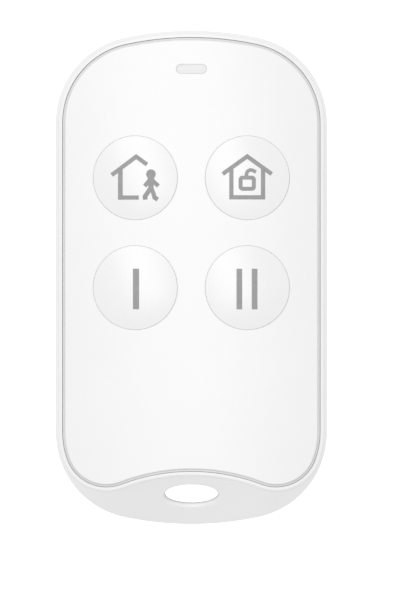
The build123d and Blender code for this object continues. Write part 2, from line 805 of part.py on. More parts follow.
# Switches: base with four legs, snap dome, plunger and a metal cover, one under each button
well_floor_z = board_top + switch_well_floor
base_top = board_top + switch_base_height
dome_top = well_floor_z + dome_height
for name, (x, y) in button_places.items():
    with BuildPart() as switch_base:
        with BuildSketch(Plane.XY.offset(board_top)) as base_face:
            with Locations((x, y)):
                Rectangle(switch_width, switch_width)
            chamfer(base_face.vertices(), switch_corner)
        extrude(amount=switch_base_height)
        with BuildSketch(Plane.XY.offset(well_floor_z)):
            with Locations((x, y)):
                Circle(switch_well_diameter / 2)
        extrude(amount=switch_base_height, mode=Mode.SUBTRACT)
    switch_base.part.label = f"{name}_switch_base"
    export_step(switch_base.part, f"parts/{name}_switch_base.step")

    # Legs run down both sides of the base and turn out onto the board
    with BuildPart() as switch_legs:
        leg_x = switch_width / 2 + leg_thickness / 2
        leg_foot_z = board_top + leg_thickness / 2
        for row in (-1, 1):
            with BuildSketch(Plane.XZ.offset(-y - row * leg_spacing / 2)):
                for side in (-1, 1):
                    with BuildLine():
                        Polyline(
                            (x + side * leg_x, board_top + leg_height),
                            (x + side * leg_x, leg_foot_z),
                            (x + side * (leg_x + leg_reach), leg_foot_z),
                        )
                    trace(line_width=leg_thickness)
            extrude(amount=leg_width / 2, both=True)
    switch_legs.part.label = f"{name}_switch_legs"
    export_step(switch_legs.part, f"parts/{name}_switch_legs.step")

    # Snap dome, a thin bowl that stands on the floor of the well
    with BuildPart() as switch_dome:
        with BuildSketch(Plane.XZ):
            with BuildLine():
                rim = dome_diameter / 2
                inner_rim = rim - 2 * dome_thickness
                outer = TangentArc((0, dome_height), (rim, 0), tangent=(1, 0))
                inner = TangentArc((0, dome_height - dome_thickness), (inner_rim, 0), tangent=(1, 0))
                Line(outer @ 1, inner @ 1)
                Line(outer @ 0, inner @ 0)
            make_face()
        revolve(axis=Axis.Z)
    dome_piece = Pos(x, y, well_floor_z) * switch_dome.part
    dome_piece.label = f"{name}_switch_dome"
    export_step(dome_piece, f"parts/{name}_switch_dome.step")

    with BuildPart() as switch_plunger:
        with BuildSketch(Plane.XY.offset(dome_top)):
            with Locations((x, y)):
                Circle(plunger_flange_diameter / 2)
        extrude(amount=plunger_flange_thickness)
        with BuildSketch(Plane.XY.offset(dome_top)):
            with Locations((x, y)):
                Circle(plunger_diameter / 2)
        extrude(amount=switch_top - dome_top)
        fillet(switch_plunger.edges().group_by(Axis.Z)[-1], plunger_round)
    switch_plunger.part.label = f"{name}_switch_plunger"
    export_step(switch_plunger.part, f"parts/{name}_switch_plunger.step")

    # Metal cover with a tab down each free side of the base
    with BuildPart() as switch_cover:
        with BuildSketch(Plane.XY.offset(base_top)) as cover_face:
            with Locations((x, y)):
                Rectangle(switch_width, switch_width)
            chamfer(cover_face.vertices(), switch_corner)
            with Locations((x, y)):
                Rectangle(switch_tab_width, switch_width + 2 * switch_cover_thickness)
                Circle(plunger_diameter / 2 + plunger_clearance, mode=Mode.SUBTRACT)
        extrude(amount=switch_cover_thickness)
        with BuildSketch(Plane.XY.offset(base_top - switch_tab_height)):
            with Locations((x, y)):
                Rectangle(switch_tab_width, switch_width + 2 * switch_cover_thickness)
                Rectangle(switch_width, switch_width, mode=Mode.SUBTRACT)
        extrude(amount=switch_tab_height)
    switch_cover.part.label = f"{name}_switch_cover"
    export_step(switch_cover.part, f"parts/{name}_switch_cover.step")


# Radio chip, with the round mark of its first contact
with BuildPart() as radio_chip:
    with BuildSketch(Plane.XY.offset(board_top)):
        with Locations((0, radio_chip_y)):
            Rectangle(radio_chip_width, radio_chip_width)
    extrude(amount=radio_chip_height)
    with BuildSketch(Plane.XY.offset(board_top + radio_chip_height - radio_mark_depth)):
        mark_from_middle = radio_chip_width / 2 - radio_mark_diameter
        with Locations((-mark_from_middle, radio_chip_y + mark_from_middle)):
            Circle(radio_mark_diameter / 2)
    extrude(amount=radio_mark_depth, mode=Mode.SUBTRACT)
radio_chip.part.label = "radio_chip"
export_step(radio_chip.part, "parts/radio_chip.step")

# Control chip: a moulded body that tapers from its middle, and two rows of bent leads
chip_middle_z = board_top + control_chip_stand + control_chip_height / 2
with BuildPart() as control_chip:
    for way in (1, -1):
        with BuildSketch(Plane.XY.offset(chip_middle_z)):
            with Locations((0, control_chip_y)):
                Rectangle(control_chip_length, control_chip_width)
        extrude(amount=way * control_chip_height / 2, taper=control_chip_taper_angle)
control_chip.part.label = "control_chip"
export_step(control_chip.part, "parts/control_chip.step")

with BuildPart() as control_chip_leads:
    lead_start = control_chip_width / 2
    lead_foot_z = board_top + lead_thickness / 2
    for number in range(lead_count):
        lead_x = (number - (lead_count - 1) / 2) * lead_pitch
        with BuildSketch(Plane.YZ.offset(lead_x)):
            for side in (-1, 1):
                with BuildLine():
                    Polyline(
                        (control_chip_y + side * lead_start, chip_middle_z),
                        (control_chip_y + side * (lead_start + lead_reach - lead_foot), chip_middle_z),
                        (control_chip_y + side * (lead_start + lead_reach - lead_foot), lead_foot_z),
                        (control_chip_y + side * (lead_start + lead_reach), lead_foot_z),
                    )
                trace(line_width=lead_thickness)
        extrude(amount=lead_width / 2, both=True)
control_chip_leads.part.label = "control_chip_leads"
export_step(control_chip_leads.part, "parts/control_chip_leads.step")

# Crystal: ceramic base with a rounded metal can
with BuildPart() as crystal_base:
    with BuildSketch(Plane.XY.offset(board_top)):
        with Locations((crystal_x, radio_chip_y)):
            Rectangle(crystal_length, crystal_width)
    extrude(amount=crystal_base_height)
crystal_base.part.label = "crystal_base"
export_step(crystal_base.part, "parts/crystal_base.step")

with BuildPart() as crystal_can:
    can_length = crystal_length - 2 * crystal_can_margin
    can_width = crystal_width - 2 * crystal_can_margin
    with BuildSketch(Plane.XY.offset(board_top + crystal_base_height)):
        with Locations((crystal_x, radio_chip_y)):
            RectangleRounded(can_length, can_width, crystal_can_round)
    extrude(amount=crystal_can_height)
crystal_can.part.label = "crystal_can"
export_step(crystal_can.part, "parts/crystal_can.step")

# Status light under the light pipe
with BuildPart() as status_led:
    with BuildSketch(Plane.XY.offset(board_top)):
        with Locations((0, window_y)):
            Rectangle(led_length, led_width)
    extrude(amount=led_base_height)
    with BuildSketch(Plane.XY.offset(board_top)):
        with Locations((0, window_y)):
            Rectangle(led_lens_length, led_width)
    extrude(amount=led_height)
status_led.part.label = "status_led"
export_step(status_led.part, "parts/status_led.step")

# Antenna: a wire bridge that stands in two holes of the board
with BuildPart() as wire_antenna:
    wire_radius = antenna_wire_diameter / 2
    wire_end_z = board_bottom - antenna_tail
    wire_high_z = flange_bottom - antenna_below_buttons - wire_radius
    with BuildLine(Plane.XZ.offset(-antenna_y)) as route:
        FilletPolyline(
            (-antenna_x, wire_end_z),
            (-antenna_x, wire_high_z),
            (antenna_x, wire_high_z),
            (antenna_x, wire_end_z),
            radius=antenna_bend_radius,
        )
    with BuildSketch(Plane(origin=route.line @ 0, z_dir=route.line % 0)):
        Circle(wire_radius)
    sweep()
wire_antenna.part.label = "wire_antenna"
export_step(wire_antenna.part, "parts/wire_antenna.step")

# Small chip parts: capacitors in a row, resistors in two columns, inductors beside the radio chip
with BuildPart() as chip_capacitors:
    with BuildSketch(Plane.XY.offset(board_top)):
        with Locations((0, radio_chip_y + capacitor_from_radio)):
            with GridLocations(capacitor_pitch, 0, capacitor_count, 1):
                Rectangle(chip_part_width, chip_part_length)
    extrude(amount=capacitor_height)
chip_capacitors.part.label = "chip_capacitors"
export_step(chip_capacitors.part, "parts/chip_capacitors.step")

# The resistor columns stand halfway between the control chip and the screw bosses
with BuildPart() as chip_resistors:
    resistor_spacing = control_chip_length / 2 + screw_x - screw_boss_radius
    with BuildSketch(Plane.XY.offset(board_top)):
        with Locations((0, control_chip_y)):
            with GridLocations(resistor_spacing, resistor_pitch, 2, resistor_rows):
                Rectangle(chip_part_length, chip_part_width)
    extrude(amount=resistor_height)
chip_resistors.part.label = "chip_resistors"
export_step(chip_resistors.part, "parts/chip_resistors.step")

with BuildPart() as chip_inductors:
    with BuildSketch(Plane.XY.offset(board_top)):
        with Locations((inductor_x, radio_chip_y)):
            with GridLocations(0, inductor_pitch, 1, inductor_count):
                Rectangle(inductor_length, inductor_width)
    extrude(amount=inductor_height)
chip_inductors.part.label = "chip_inductors"
export_step(chip_inductors.part, "parts/chip_inductors.step")
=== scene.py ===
# %% [markdown]
# # A white alarm key fob
# The fob lies on its back on a pale table and is seen straight from the front. Its parts come
# from the packed model, where every piece already has its true shape and place. What is left
# for this script is what a moulding shop, a print room and a board maker would add: surface
# grain, printed pictograms, threads, solder, and then the light and the camera.

# %% Load the frame
import bpy
import bmesh
import math
import numpy
from mathutils import Matrix, Vector


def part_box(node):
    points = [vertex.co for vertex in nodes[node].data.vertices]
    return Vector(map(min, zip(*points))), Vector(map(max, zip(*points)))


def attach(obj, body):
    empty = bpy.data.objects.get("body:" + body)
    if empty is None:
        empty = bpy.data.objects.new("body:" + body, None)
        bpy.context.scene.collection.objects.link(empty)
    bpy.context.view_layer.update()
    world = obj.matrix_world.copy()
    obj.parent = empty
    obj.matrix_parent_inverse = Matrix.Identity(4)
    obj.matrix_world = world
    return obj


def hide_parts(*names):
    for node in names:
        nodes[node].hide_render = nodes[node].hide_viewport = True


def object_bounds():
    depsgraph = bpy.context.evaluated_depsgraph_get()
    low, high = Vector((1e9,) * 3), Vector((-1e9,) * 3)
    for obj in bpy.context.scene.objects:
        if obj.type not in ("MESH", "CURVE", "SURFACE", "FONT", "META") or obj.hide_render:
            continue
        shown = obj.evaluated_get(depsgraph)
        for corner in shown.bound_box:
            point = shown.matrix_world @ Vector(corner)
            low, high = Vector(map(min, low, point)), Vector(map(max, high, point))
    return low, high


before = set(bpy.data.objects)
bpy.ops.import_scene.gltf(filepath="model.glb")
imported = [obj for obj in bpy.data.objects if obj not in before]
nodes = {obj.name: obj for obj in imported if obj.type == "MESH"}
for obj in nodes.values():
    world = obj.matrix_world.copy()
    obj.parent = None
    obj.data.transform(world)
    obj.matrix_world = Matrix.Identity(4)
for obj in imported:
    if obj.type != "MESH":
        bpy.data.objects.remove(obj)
cad_low, cad_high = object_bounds()
print(len(nodes), "pieces in the frame, from", tuple(cad_low), "to", tuple(cad_high))

# %% [markdown]
# ## Millimetres
# The frame is in metres, and a key fob is a few hundredths of one. Typing 0.00012 for a grain
# of 0.12 mm invites slips. So every size below is written in millimetres times MM, and the
# scene itself stays in metres.

# %% Millimetres
MM = 0.001
fob_middle = (cad_low + cad_high) / 2
fob_size = cad_high - cad_low


def rounded_mm(vector):
    """The numbers of a vector in metres, as millimetres for printing."""
    return [round(value / MM, 2) for value in vector]


print("fob of", rounded_mm(fob_size), "mm")

# %% [markdown]
# ## Finishes
# All finishes are built the same way: a Principled shader, whose flat values are typed
# straight onto its sockets, and one or two noise textures that vary the colour, the roughness
# and the height a little. Real surfaces are never even, and a little unevenness is what makes
# plastic look moulded and metal look rolled. Pictures of real plastic would do it too, but they
# show their pixels close up. Noise in object coordinates is sharp at any zoom, has a true size,
# and follows the piece when a button is pressed.

# %% A bare finish
def bare_finish(name, roughness, metallic=0.0):
    """Makes a material and its Principled shader, with the values that are the same all over."""
    material = bpy.data.materials.new(name)
    material.use_nodes = True
    shader = material.node_tree.nodes["Principled BSDF"]
    shader.inputs["Roughness"].default_value = roughness
    shader.inputs["Metallic"].default_value = metallic
    return material, shader


print(bare_finish.__doc__)

# %% [markdown]
# A grain is a noise texture with a size. Stretching its coordinates along one axis turns the
# same noise into rolling marks or brushing, so one helper serves plastics and metals alike.

# %% Grain of a given size
def grain(material, size, stretch=(1, 1, 1), detail=3.0):
    """Adds noise with bumps of about this size, drawn out along an axis with a stretch above 1."""
    tree = material.node_tree
    place = tree.nodes.new("ShaderNodeTexCoord")
    mapping = tree.nodes.new("ShaderNodeMapping")
    mapping.inputs["Scale"].default_value = [1 / (size * along) for along in stretch]
    noise = tree.nodes.new("ShaderNodeTexNoise")
    noise.inputs["Scale"].default_value = 1.0
    noise.inputs["Detail"].default_value = detail
    tree.links.new(place.outputs["Object"], mapping.inputs["Vector"])
    tree.links.new(mapping.outputs["Vector"], noise.inputs["Vector"])
    return noise.outputs["Fac"]


print(grain.__doc__)

# %% [markdown]
# There are three ways to use a grain. As colour it drifts between two shades, as on a moulding
# whose pigment isn't mixed to perfection. As roughness it makes the sheen break up. As height
# it tilts the surface a little, which is what spark-eroded mould texture does to a highlight.
# Noise runs from 0 to 1 but seldom leaves the middle, so only that middle is spread out.

# %% Grain as colour
grain_low = 0.3
grain_high = 0.7


def colour_between(material, shader, factor, dark, light):
    """Makes the base colour drift between two shades."""
    tree = material.node_tree
    shades = tree.nodes.new("ShaderNodeValToRGB")
    shades.color_ramp.elements[0].position = grain_low
    shades.color_ramp.elements[0].color = (*dark, 1)
    shades.color_ramp.elements[1].position = grain_high
    shades.color_ramp.elements[1].color = (*light, 1)
    tree.links.new(factor, shades.inputs["Fac"])
    tree.links.new(shades.outputs["Color"], shader.inputs["Base Color"])


print(colour_between.__doc__)

# %% Grain as roughness
def roughness_between(material, shader, factor, low, high):
    """Makes the roughness drift between two values."""
    tree = material.node_tree
    spread = tree.nodes.new("ShaderNodeMapRange")
    spread.inputs["From Min"].default_value = grain_low
    spread.inputs["From Max"].default_value = grain_high
    spread.inputs["To Min"].default_value = low
    spread.inputs["To Max"].default_value = high
    tree.links.new(factor, spread.inputs["Value"])
    tree.links.new(spread.outputs["Result"], shader.inputs["Roughness"])


print(roughness_between.__doc__)

# %% Grain as height
def raised_by(material, shader, factor, height):
    """Makes the light see relief of this height."""
    tree = material.node_tree
    bump = tree.nodes.new("ShaderNodeBump")
    bump.inputs["Distance"].default_value = height
    tree.links.new(factor, bump.inputs["Height"])
    tree.links.new(bump.outputs["Normal"], shader.inputs["Normal"])


print(raised_by.__doc__)

# %% [markdown]
# Painting a piece means that the finish takes the place of whatever material the frame came
# with. The same finish often goes on several pieces, so the helper takes a list of names. It
# also keeps a list of what is painted, so that no piece is forgotten.

# %% Paint pieces
painted = {}


def paint(material, *names):
    """Puts the finish on these pieces of the frame."""
    for name in names:
        nodes[name].data.materials.clear()
        nodes[name].data.materials.append(material)
        painted[name] = material.name


print(paint.__doc__, len(nodes), "pieces wait for one.")

# %% [markdown]
# Shade in a seam is painted into the colour here: the colour is multiplied by a grey where the
# surface is closed in, so the seam looks greyer than the open surface. The grey could be
# painted along the seam, but then it would stay behind when a button moves. Ambient occlusion
# tells how closed in a point is, within a reach that is just wider than the seam, so the painted
# shade finds the seams by itself.

# %% Painted shade in the seams
seam_reach = 0.4 * MM
seam_shade = 0.82
closed_level = 0.55
open_level = 0.9


def paint_shade_in_seams(material, shader):
    """Multiplies the colour by a grey where the surface is closed in, as painted shade."""
    tree = material.node_tree
    colour = shader.inputs["Base Color"].links[0].from_socket
    closed_in = tree.nodes.new("ShaderNodeAmbientOcclusion")
    closed_in.samples = 8
    closed_in.inputs["Distance"].default_value = seam_reach
    openness = tree.nodes.new("ShaderNodeMapRange")
    openness.inputs["From Min"].default_value = closed_level
    openness.inputs["From Max"].default_value = open_level
    openness.inputs["To Min"].default_value = seam_shade
    openness.inputs["To Max"].default_value = 1.0
    dimmed = tree.nodes.new("ShaderNodeVectorMath")
    dimmed.operation = "SCALE"
    tree.links.new(closed_in.outputs["AO"], openness.inputs["Value"])
    tree.links.new(colour, dimmed.inputs[0])
    tree.links.new(openness.outputs["Result"], dimmed.inputs["Scale"])
    tree.links.new(dimmed.outputs["Vector"], shader.inputs["Base Color"])


# the seam shade below is painted into the colour
print("seams are dimmed to", seam_shade, "within", round(seam_reach / MM, 2), "mm")

# %% [markdown]
# ### Satin white mouldings
# The two covers and the four buttons are moulded in the same white. A satin mould leaves a
# grain finer than a hair, too fine to be seen one by one, but it spreads the highlight into a
# wide soft sheen. A high roughness alone would give that sheen too, yet so evenly that it looks
# like paint. The covers and the buttons come out of different moulds, so their whites differ by
# a hair too, and that keeps the buttons readable against the cover.

# %% Satin white
cloud_size = 9 * MM
cloud_drift = 0.006
mould_grain = 0.12 * MM
mould_grain_height = 0.0016 * MM
sheen_drift = 0.04


def satin_white(name, shade, sheen):
    """Makes a satin white with this shade of grey and this roughness."""
    material, shader = bare_finish(name, sheen)
    cloud = grain(material, cloud_size, detail=2.0)
    colour_between(material, shader, cloud, [shade - cloud_drift] * 3, [shade + cloud_drift] * 3)
    texture = grain(material, mould_grain, detail=4.0)
    roughness_between(material, shader, texture, sheen - sheen_drift, sheen + sheen_drift)
    raised_by(material, shader, texture, mould_grain_height)
    # painted shade in the seams, multiplied into the base colour
    paint_shade_in_seams(material, shader)
    return material


print(satin_white.__doc__)

# %% Paint the mouldings
button_names = ["arm", "disarm", "one", "two"]
paint(satin_white("cover white", shade=0.915, sheen=0.30), "front_cover")
paint(satin_white("tub white", shade=0.905, sheen=0.34), "rear_cover")
button_white = satin_white("button white", shade=0.915, sheen=0.28)
paint(button_white, *[f"{name}_button_cap" for name in button_names])
print("white mouldings:", sorted(painted))

# %% [markdown]
# ### Milky light pipe
# The status window is a clear bar with a milky filler, so that the light behind it spreads
# over the whole slot. Unlit, it reads as a slightly darker, glossier patch than the cover.
# Transmission would make it clear as glass, which it isn't. Subsurface scattering gives the
# milkiness, and faint flow lines run along the slot from the gate that the plastic was shot
# through.

# %% Milky plastic
milky, milky_shader = bare_finish("milky light pipe", roughness=0.18)
flow = grain(milky, 0.5 * MM, stretch=(6, 1, 6), detail=2.0)
colour_between(milky, milky_shader, flow, dark=(0.75, 0.75, 0.76), light=(0.80, 0.80, 0.805))
raised_by(milky, milky_shader, flow, height=0.001 * MM)
milky_shader.inputs["Subsurface Weight"].default_value = 0.25
milky_shader.inputs["Subsurface Radius"].default_value = (1.0, 1.0, 1.0)
milky_shader.inputs["Subsurface Scale"].default_value = 0.4 * MM
paint(milky, "light_pipe")

# %% [markdown]
# ### Plated and rolled metals
# Metals differ in colour, in how rough they are, and in the direction of their marks. Sheet is
# rolled, so its marks run one way. A stamped can has hardly any. The zinc on a screw is patchy
# and dull. The Anisotropic value could bend the highlight along the marks, but at this size the
# stretched grain already does. One helper takes the differences as its values.

# %% Metal with marks
patch_size = 2 * MM
mark_height = 0.001 * MM
smoother_by = 0.06
rougher_by = 0.08


def metal(name, dark, light, roughness, mark_size, stretch=(1, 1, 1)):
    """Makes a patchy metal with marks of this size, drawn out along one axis."""
    material, shader = bare_finish(name, roughness, metallic=1.0)
    patches = grain(material, patch_size, detail=4.0)
    colour_between(material, shader, patches, dark, light)
    marks = grain(material, mark_size, stretch)
    roughness_between(material, shader, marks, roughness - smoother_by, roughness + rougher_by)
    raised_by(material, shader, marks, mark_height)
    return material


print(metal.__doc__)

# %% Rolled and stamped steel
clip_steel = metal("plated spring strip", (0.62, 0.61, 0.58), (0.70, 0.69, 0.66),
                   roughness=0.30, mark_size=0.05 * MM, stretch=(40, 1, 1))
dome_steel = metal("snap dome steel", (0.66, 0.66, 0.67), (0.74, 0.74, 0.75),
                   roughness=0.22, mark_size=0.04 * MM, stretch=(1, 20, 1))
sheet_steel = metal("stamped switch cover", (0.62, 0.62, 0.63), (0.72, 0.72, 0.73),
                    roughness=0.32, mark_size=0.04 * MM, stretch=(20, 1, 1))
can_steel = metal("nickel plated can", (0.68, 0.67, 0.65), (0.76, 0.75, 0.73),
                  roughness=0.25, mark_size=0.05 * MM, stretch=(30, 1, 30))
paint(clip_steel, "battery_clip")
paint(dome_steel, *[f"{name}_switch_dome" for name in button_names])
paint(sheet_steel, *[f"{name}_switch_cover" for name in button_names])
paint(can_steel, "coin_cell_can")
print(len(painted), "pieces painted so far")

# %% Tin, gold, copper and zinc
tin = metal("tinned leads", (0.66, 0.66, 0.67), (0.80, 0.80, 0.80),
            roughness=0.34, mark_size=0.08 * MM)
gold = metal("gold flash", (0.86, 0.64, 0.28), (0.95, 0.74, 0.36),
             roughness=0.28, mark_size=0.06 * MM)
lid_metal = metal("crystal lid", (0.66, 0.62, 0.52), (0.74, 0.71, 0.62),
                  roughness=0.30, mark_size=0.04 * MM, stretch=(1, 16, 1))
copper = metal("enamelled copper", (0.62, 0.30, 0.14), (0.76, 0.40, 0.20),
               roughness=0.26, mark_size=0.10 * MM, stretch=(12, 1, 1))
zinc = metal("zinc plated screw", (0.52, 0.53, 0.55), (0.66, 0.67, 0.70),
             roughness=0.36, mark_size=0.15 * MM)
paint(tin, "control_chip_leads", *[f"{name}_switch_legs" for name in button_names])
paint(gold, "negative_contact")
paint(lid_metal, "crystal_can")
paint(copper, "wire_antenna")
print(len(painted), "pieces painted so far, and", zinc.name, "waits for the screws")

# %% [markdown]
# The cap of a coin cell has fine rings from the lathe. They could be cut into the mesh, but
# they are a few micrometres deep, so a texture does it. Rings come from a wave texture round
# the cell's own axis, so the coordinates are first moved to the middle of the cell.

# %% Coin cell cap
cap_low, cap_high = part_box("coin_cell_cap")
cell_middle = (cap_low + cap_high) / 2
ring_pitch = 2 * MM
cap_steel, cap_shader = bare_finish("turned cell cap", roughness=0.28, metallic=1.0)
cap_tree = cap_steel.node_tree
cap_place = cap_tree.nodes.new("ShaderNodeTexCoord")
cap_shift = cap_tree.nodes.new("ShaderNodeMapping")
cap_shift.inputs["Location"].default_value = (-cell_middle.x, -cell_middle.y, 0)
turning = cap_tree.nodes.new("ShaderNodeTexWave")
turning.wave_type = "RINGS"
turning.rings_direction = "Z"
turning.inputs["Scale"].default_value = 1 / ring_pitch
turning.inputs["Distortion"].default_value = 1.5
cap_tree.links.new(cap_place.outputs["Object"], cap_shift.inputs["Vector"])
cap_tree.links.new(cap_shift.outputs["Vector"], turning.inputs["Vector"])
rings = turning.outputs["Fac"]
colour_between(cap_steel, cap_shader, rings, dark=(0.66, 0.66, 0.65), light=(0.74, 0.74, 0.73))
roughness_between(cap_steel, cap_shader, rings, low=0.24, high=0.34)
raised_by(cap_steel, cap_shader, rings, height=0.002 * MM)
paint(cap_steel, "coin_cell_cap")
print("cell middle at", rounded_mm(cell_middle), "mm")

# %% [markdown]
# ### Dull inner parts
# Chips, resistors, ferrite and switch bases are all dark and dull, but not the same: a chip
# body is moulded with glass filler and sparkles faintly, a resistor has a glaze, ferrite is
# pressed powder, and a switch base is plain moulded nylon. One black for all would be quicker,
# but the board would look like a toy. The difference lies in how fine and how high the grit is.

# %% Dull part
glossier_by = 0.08
duller_by = 0.06


def dull_part(name, dark, light, roughness, grit, relief):
    """Makes a dull finish with grit of this size and height."""
    material, shader = bare_finish(name, roughness)
    powder = grain(material, grit, detail=5.0)
    colour_between(material, shader, powder, dark, light)
    roughness_between(material, shader, powder, roughness - glossier_by, roughness + duller_by)
    raised_by(material, shader, powder, relief)
    return material


print(dull_part.__doc__)

# %% Chips and chip parts
chip_black = dull_part("chip moulding", (0.022, 0.022, 0.026), (0.045, 0.045, 0.05),
                       roughness=0.55, grit=0.05 * MM, relief=0.004 * MM)
glaze = dull_part("resistor glaze", (0.028, 0.028, 0.034), (0.05, 0.05, 0.055),
                  roughness=0.22, grit=0.20 * MM, relief=0.001 * MM)
ferrite = dull_part("pressed ferrite", (0.14, 0.14, 0.15), (0.21, 0.21, 0.22),
                    roughness=0.60, grit=0.08 * MM, relief=0.004 * MM)
tan_ceramic = dull_part("fired tan ceramic", (0.50, 0.37, 0.25), (0.60, 0.46, 0.33),
                        roughness=0.38, grit=0.12 * MM, relief=0.001 * MM)
dark_ceramic = dull_part("fired dark ceramic", (0.13, 0.10, 0.085), (0.19, 0.155, 0.13),
                         roughness=0.58, grit=0.06 * MM, relief=0.002 * MM)
paint(chip_black, "radio_chip", "control_chip")
paint(glaze, "chip_resistors")
paint(ferrite, "chip_inductors")
paint(tan_ceramic, "chip_capacitors")
paint(dark_ceramic, "crystal_base")
print(len(painted), "pieces painted so far")

# %% Switches and cell
base_nylon = dull_part("switch nylon", (0.030, 0.030, 0.030), (0.050, 0.050, 0.050),
                       roughness=0.48, grit=0.10 * MM, relief=0.002 * MM)
plunger_nylon = dull_part("plunger nylon", (0.56, 0.085, 0.065), (0.67, 0.115, 0.09),
                          roughness=0.42, grit=0.12 * MM, relief=0.002 * MM)
seal_plastic = dull_part("cell seal", (0.12, 0.12, 0.13), (0.17, 0.17, 0.18),
                         roughness=0.50, grit=0.10 * MM, relief=0.002 * MM)
filling = dull_part("pressed cell filling", (0.09, 0.09, 0.09), (0.15, 0.15, 0.15),
                    roughness=0.80, grit=0.15 * MM, relief=0.01 * MM)
paint(base_nylon, *[f"{name}_switch_base" for name in button_names])
paint(plunger_nylon, *[f"{name}_switch_plunger" for name in button_names])
paint(seal_plastic, "coin_cell_seal")
paint(filling, "coin_cell_core")
print(len(painted), "pieces painted so far")

# %% [markdown]
# ### Status light
# A chip light is clear resin over a pale base. The resin is slightly yellow, since a phosphor
# powder hangs in it, and the powder shows as fine specks. True clear resin would need a
# transparent body with the powder inside. The light is a millimetre long and behind the light
# pipe, so specks under a clear coat are enough.

# %% Clear resin with phosphor
resin, resin_shader = bare_finish("phosphor resin", roughness=0.16)
specks = grain(resin, 0.05 * MM, detail=4.0)
colour_between(resin, resin_shader, specks, dark=(0.82, 0.76, 0.52), light=(0.90, 0.88, 0.78))
raised_by(resin, resin_shader, specks, height=0.0005 * MM)
resin_shader.inputs["Coat Weight"].default_value = 0.5
resin_shader.inputs["Coat Roughness"].default_value = 0.08
paint(resin, "status_led")
print(len(painted), "pieces painted so far")

# %% [markdown]
# ### Circuit board
# Solder mask is a glossy green lacquer over copper tracks. The tracks show as slightly raised
# lighter lines that turn at right angles. Drawing every track would take days. Cells of a
# Voronoi texture measured with the Chebychev distance are squares, so the lines between them
# make a fair stand-in for routed tracks, and the same factor gives both their lighter green and
# their height.

# %% Tracks
track_cell = 2.2 * MM
mask, mask_shader = bare_finish("green solder mask", roughness=0.24)
mask_tree = mask.node_tree
board_place = mask_tree.nodes.new("ShaderNodeTexCoord")
track_cells = mask_tree.nodes.new("ShaderNodeTexVoronoi")
track_cells.distance = "CHEBYCHEV"
track_cells.feature = "SMOOTH_F1"
track_cells.inputs["Scale"].default_value = 1 / track_cell
track_cells.inputs["Smoothness"].default_value = 0.05
track_edge = mask_tree.nodes.new("ShaderNodeMapRange")
track_edge.inputs["From Min"].default_value = 0.44
track_edge.inputs["From Max"].default_value = 0.50
mask_tree.links.new(board_place.outputs["Object"], track_cells.inputs["Vector"])
mask_tree.links.new(track_cells.outputs["Distance"], track_edge.inputs["Value"])
print("tracks about every", round(track_cell / MM, 1), "mm")

# %% Green board
tracks = track_edge.outputs["Result"]
colour_between(mask, mask_shader, tracks, dark=(0.020, 0.125, 0.065), light=(0.050, 0.260, 0.125))
roughness_between(mask, mask_shader, grain(mask, 0.4 * MM), low=0.20, high=0.30)
raised_by(mask, mask_shader, tracks, height=0.03 * MM)
paint(mask, "circuit_board")
print(len(painted), "of", len(nodes), "pieces painted")

# %% [markdown]
# ## Printed pictograms
# Each button carries a pad-printed sign: a film of grey ink a hundredth or two of a millimetre
# thick. A picture texture could show it, but a sign with sharp edges at any zoom is better made
# as a thin piece of its own. Each sign is drawn flat from strokes, joined into one outline,
# cut fine, and then laid on the dome of its button, as the soft printing pad does it.
#
# A stroke is a chain of points with a width. At a bend its two edges meet in a mitre, and a
# limit keeps the mitre of a sharp bend from growing into a spike.

# %% Edges of a stroke
sharpest_mitre = 0.4


def stroke_edges(points, width, closed):
    """Finds the left and right edge points of a stroke of this width along a chain of points."""
    chain = [Vector(point) for point in points]
    count = len(chain)
    left, right = [], []
    for i, here in enumerate(chain):
        ways = []
        if closed or i > 0:
            ways.append((here - chain[i - 1]).normalized())
        if closed or i < count - 1:
            ways.append((chain[(i + 1) % count] - here).normalized())
        way = sum(ways, Vector((0, 0))).normalized()
        across = Vector((-way.y, way.x)) * width / 2 / max(way.dot(ways[0]), sharpest_mitre)
        left.append(here + across)
        right.append(here - across)
    return left, right


print("a stroke 2 mm wide along X runs between", stroke_edges([(0, 0), (1, 0)], 2, closed=False))

# %% Strokes as bars
ink_width = 0.52
bar_height = 1.0


def add_stroke(mesh, points, width=ink_width, closed=False):
    """Adds the stroke to the mesh as an upright bar."""
    rows = []
    for side in stroke_edges(points, width, closed):
        for z in (0, bar_height):
            rows.append([mesh.verts.new((*point, z)) for point in side])
    left_low, left_high, right_low, right_high = rows
    count = len(points)
    for i in range(count if closed else count - 1):
        j = (i + 1) % count
        mesh.faces.new((left_low[i], right_low[i], right_low[j], left_low[j]))
        mesh.faces.new((left_high[i], left_high[j], right_high[j], right_high[i]))
        mesh.faces.new((left_low[i], left_low[j], left_high[j], left_high[i]))
        mesh.faces.new((right_low[i], right_high[i], right_high[j], right_low[j]))
    if not closed:
        mesh.faces.new((left_low[0], left_high[0], right_high[0], right_low[0]))
        mesh.faces.new((left_low[-1], right_low[-1], right_high[-1], left_high[-1]))


print("ink strokes", ink_width, "mm wide")

# %% [markdown]
# A head is a disc. It is one more chain of points, so that the only two things a sign is made
# of are strokes and discs. The same chains make the round corners of a padlock. A disc is two
# rings with a wall between them, and such stacks of rings come back in the screws and the
# solder, so closing a stack gets a helper of its own.

# %% Arcs
def arc_points(middle, radius, start, end, steps):
    """Finds points on an arc, with the angles in degrees."""
    turns = [math.radians(start + (end - start) * i / steps) for i in range(steps + 1)]
    return [(middle[0] + radius * math.cos(t), middle[1] + radius * math.sin(t)) for t in turns]


quarter = arc_points((0, 0), 1.0, 0, 90, 2)
print("a quarter circle in 2 steps:", [(round(x, 2), round(y, 2)) for x, y in quarter])

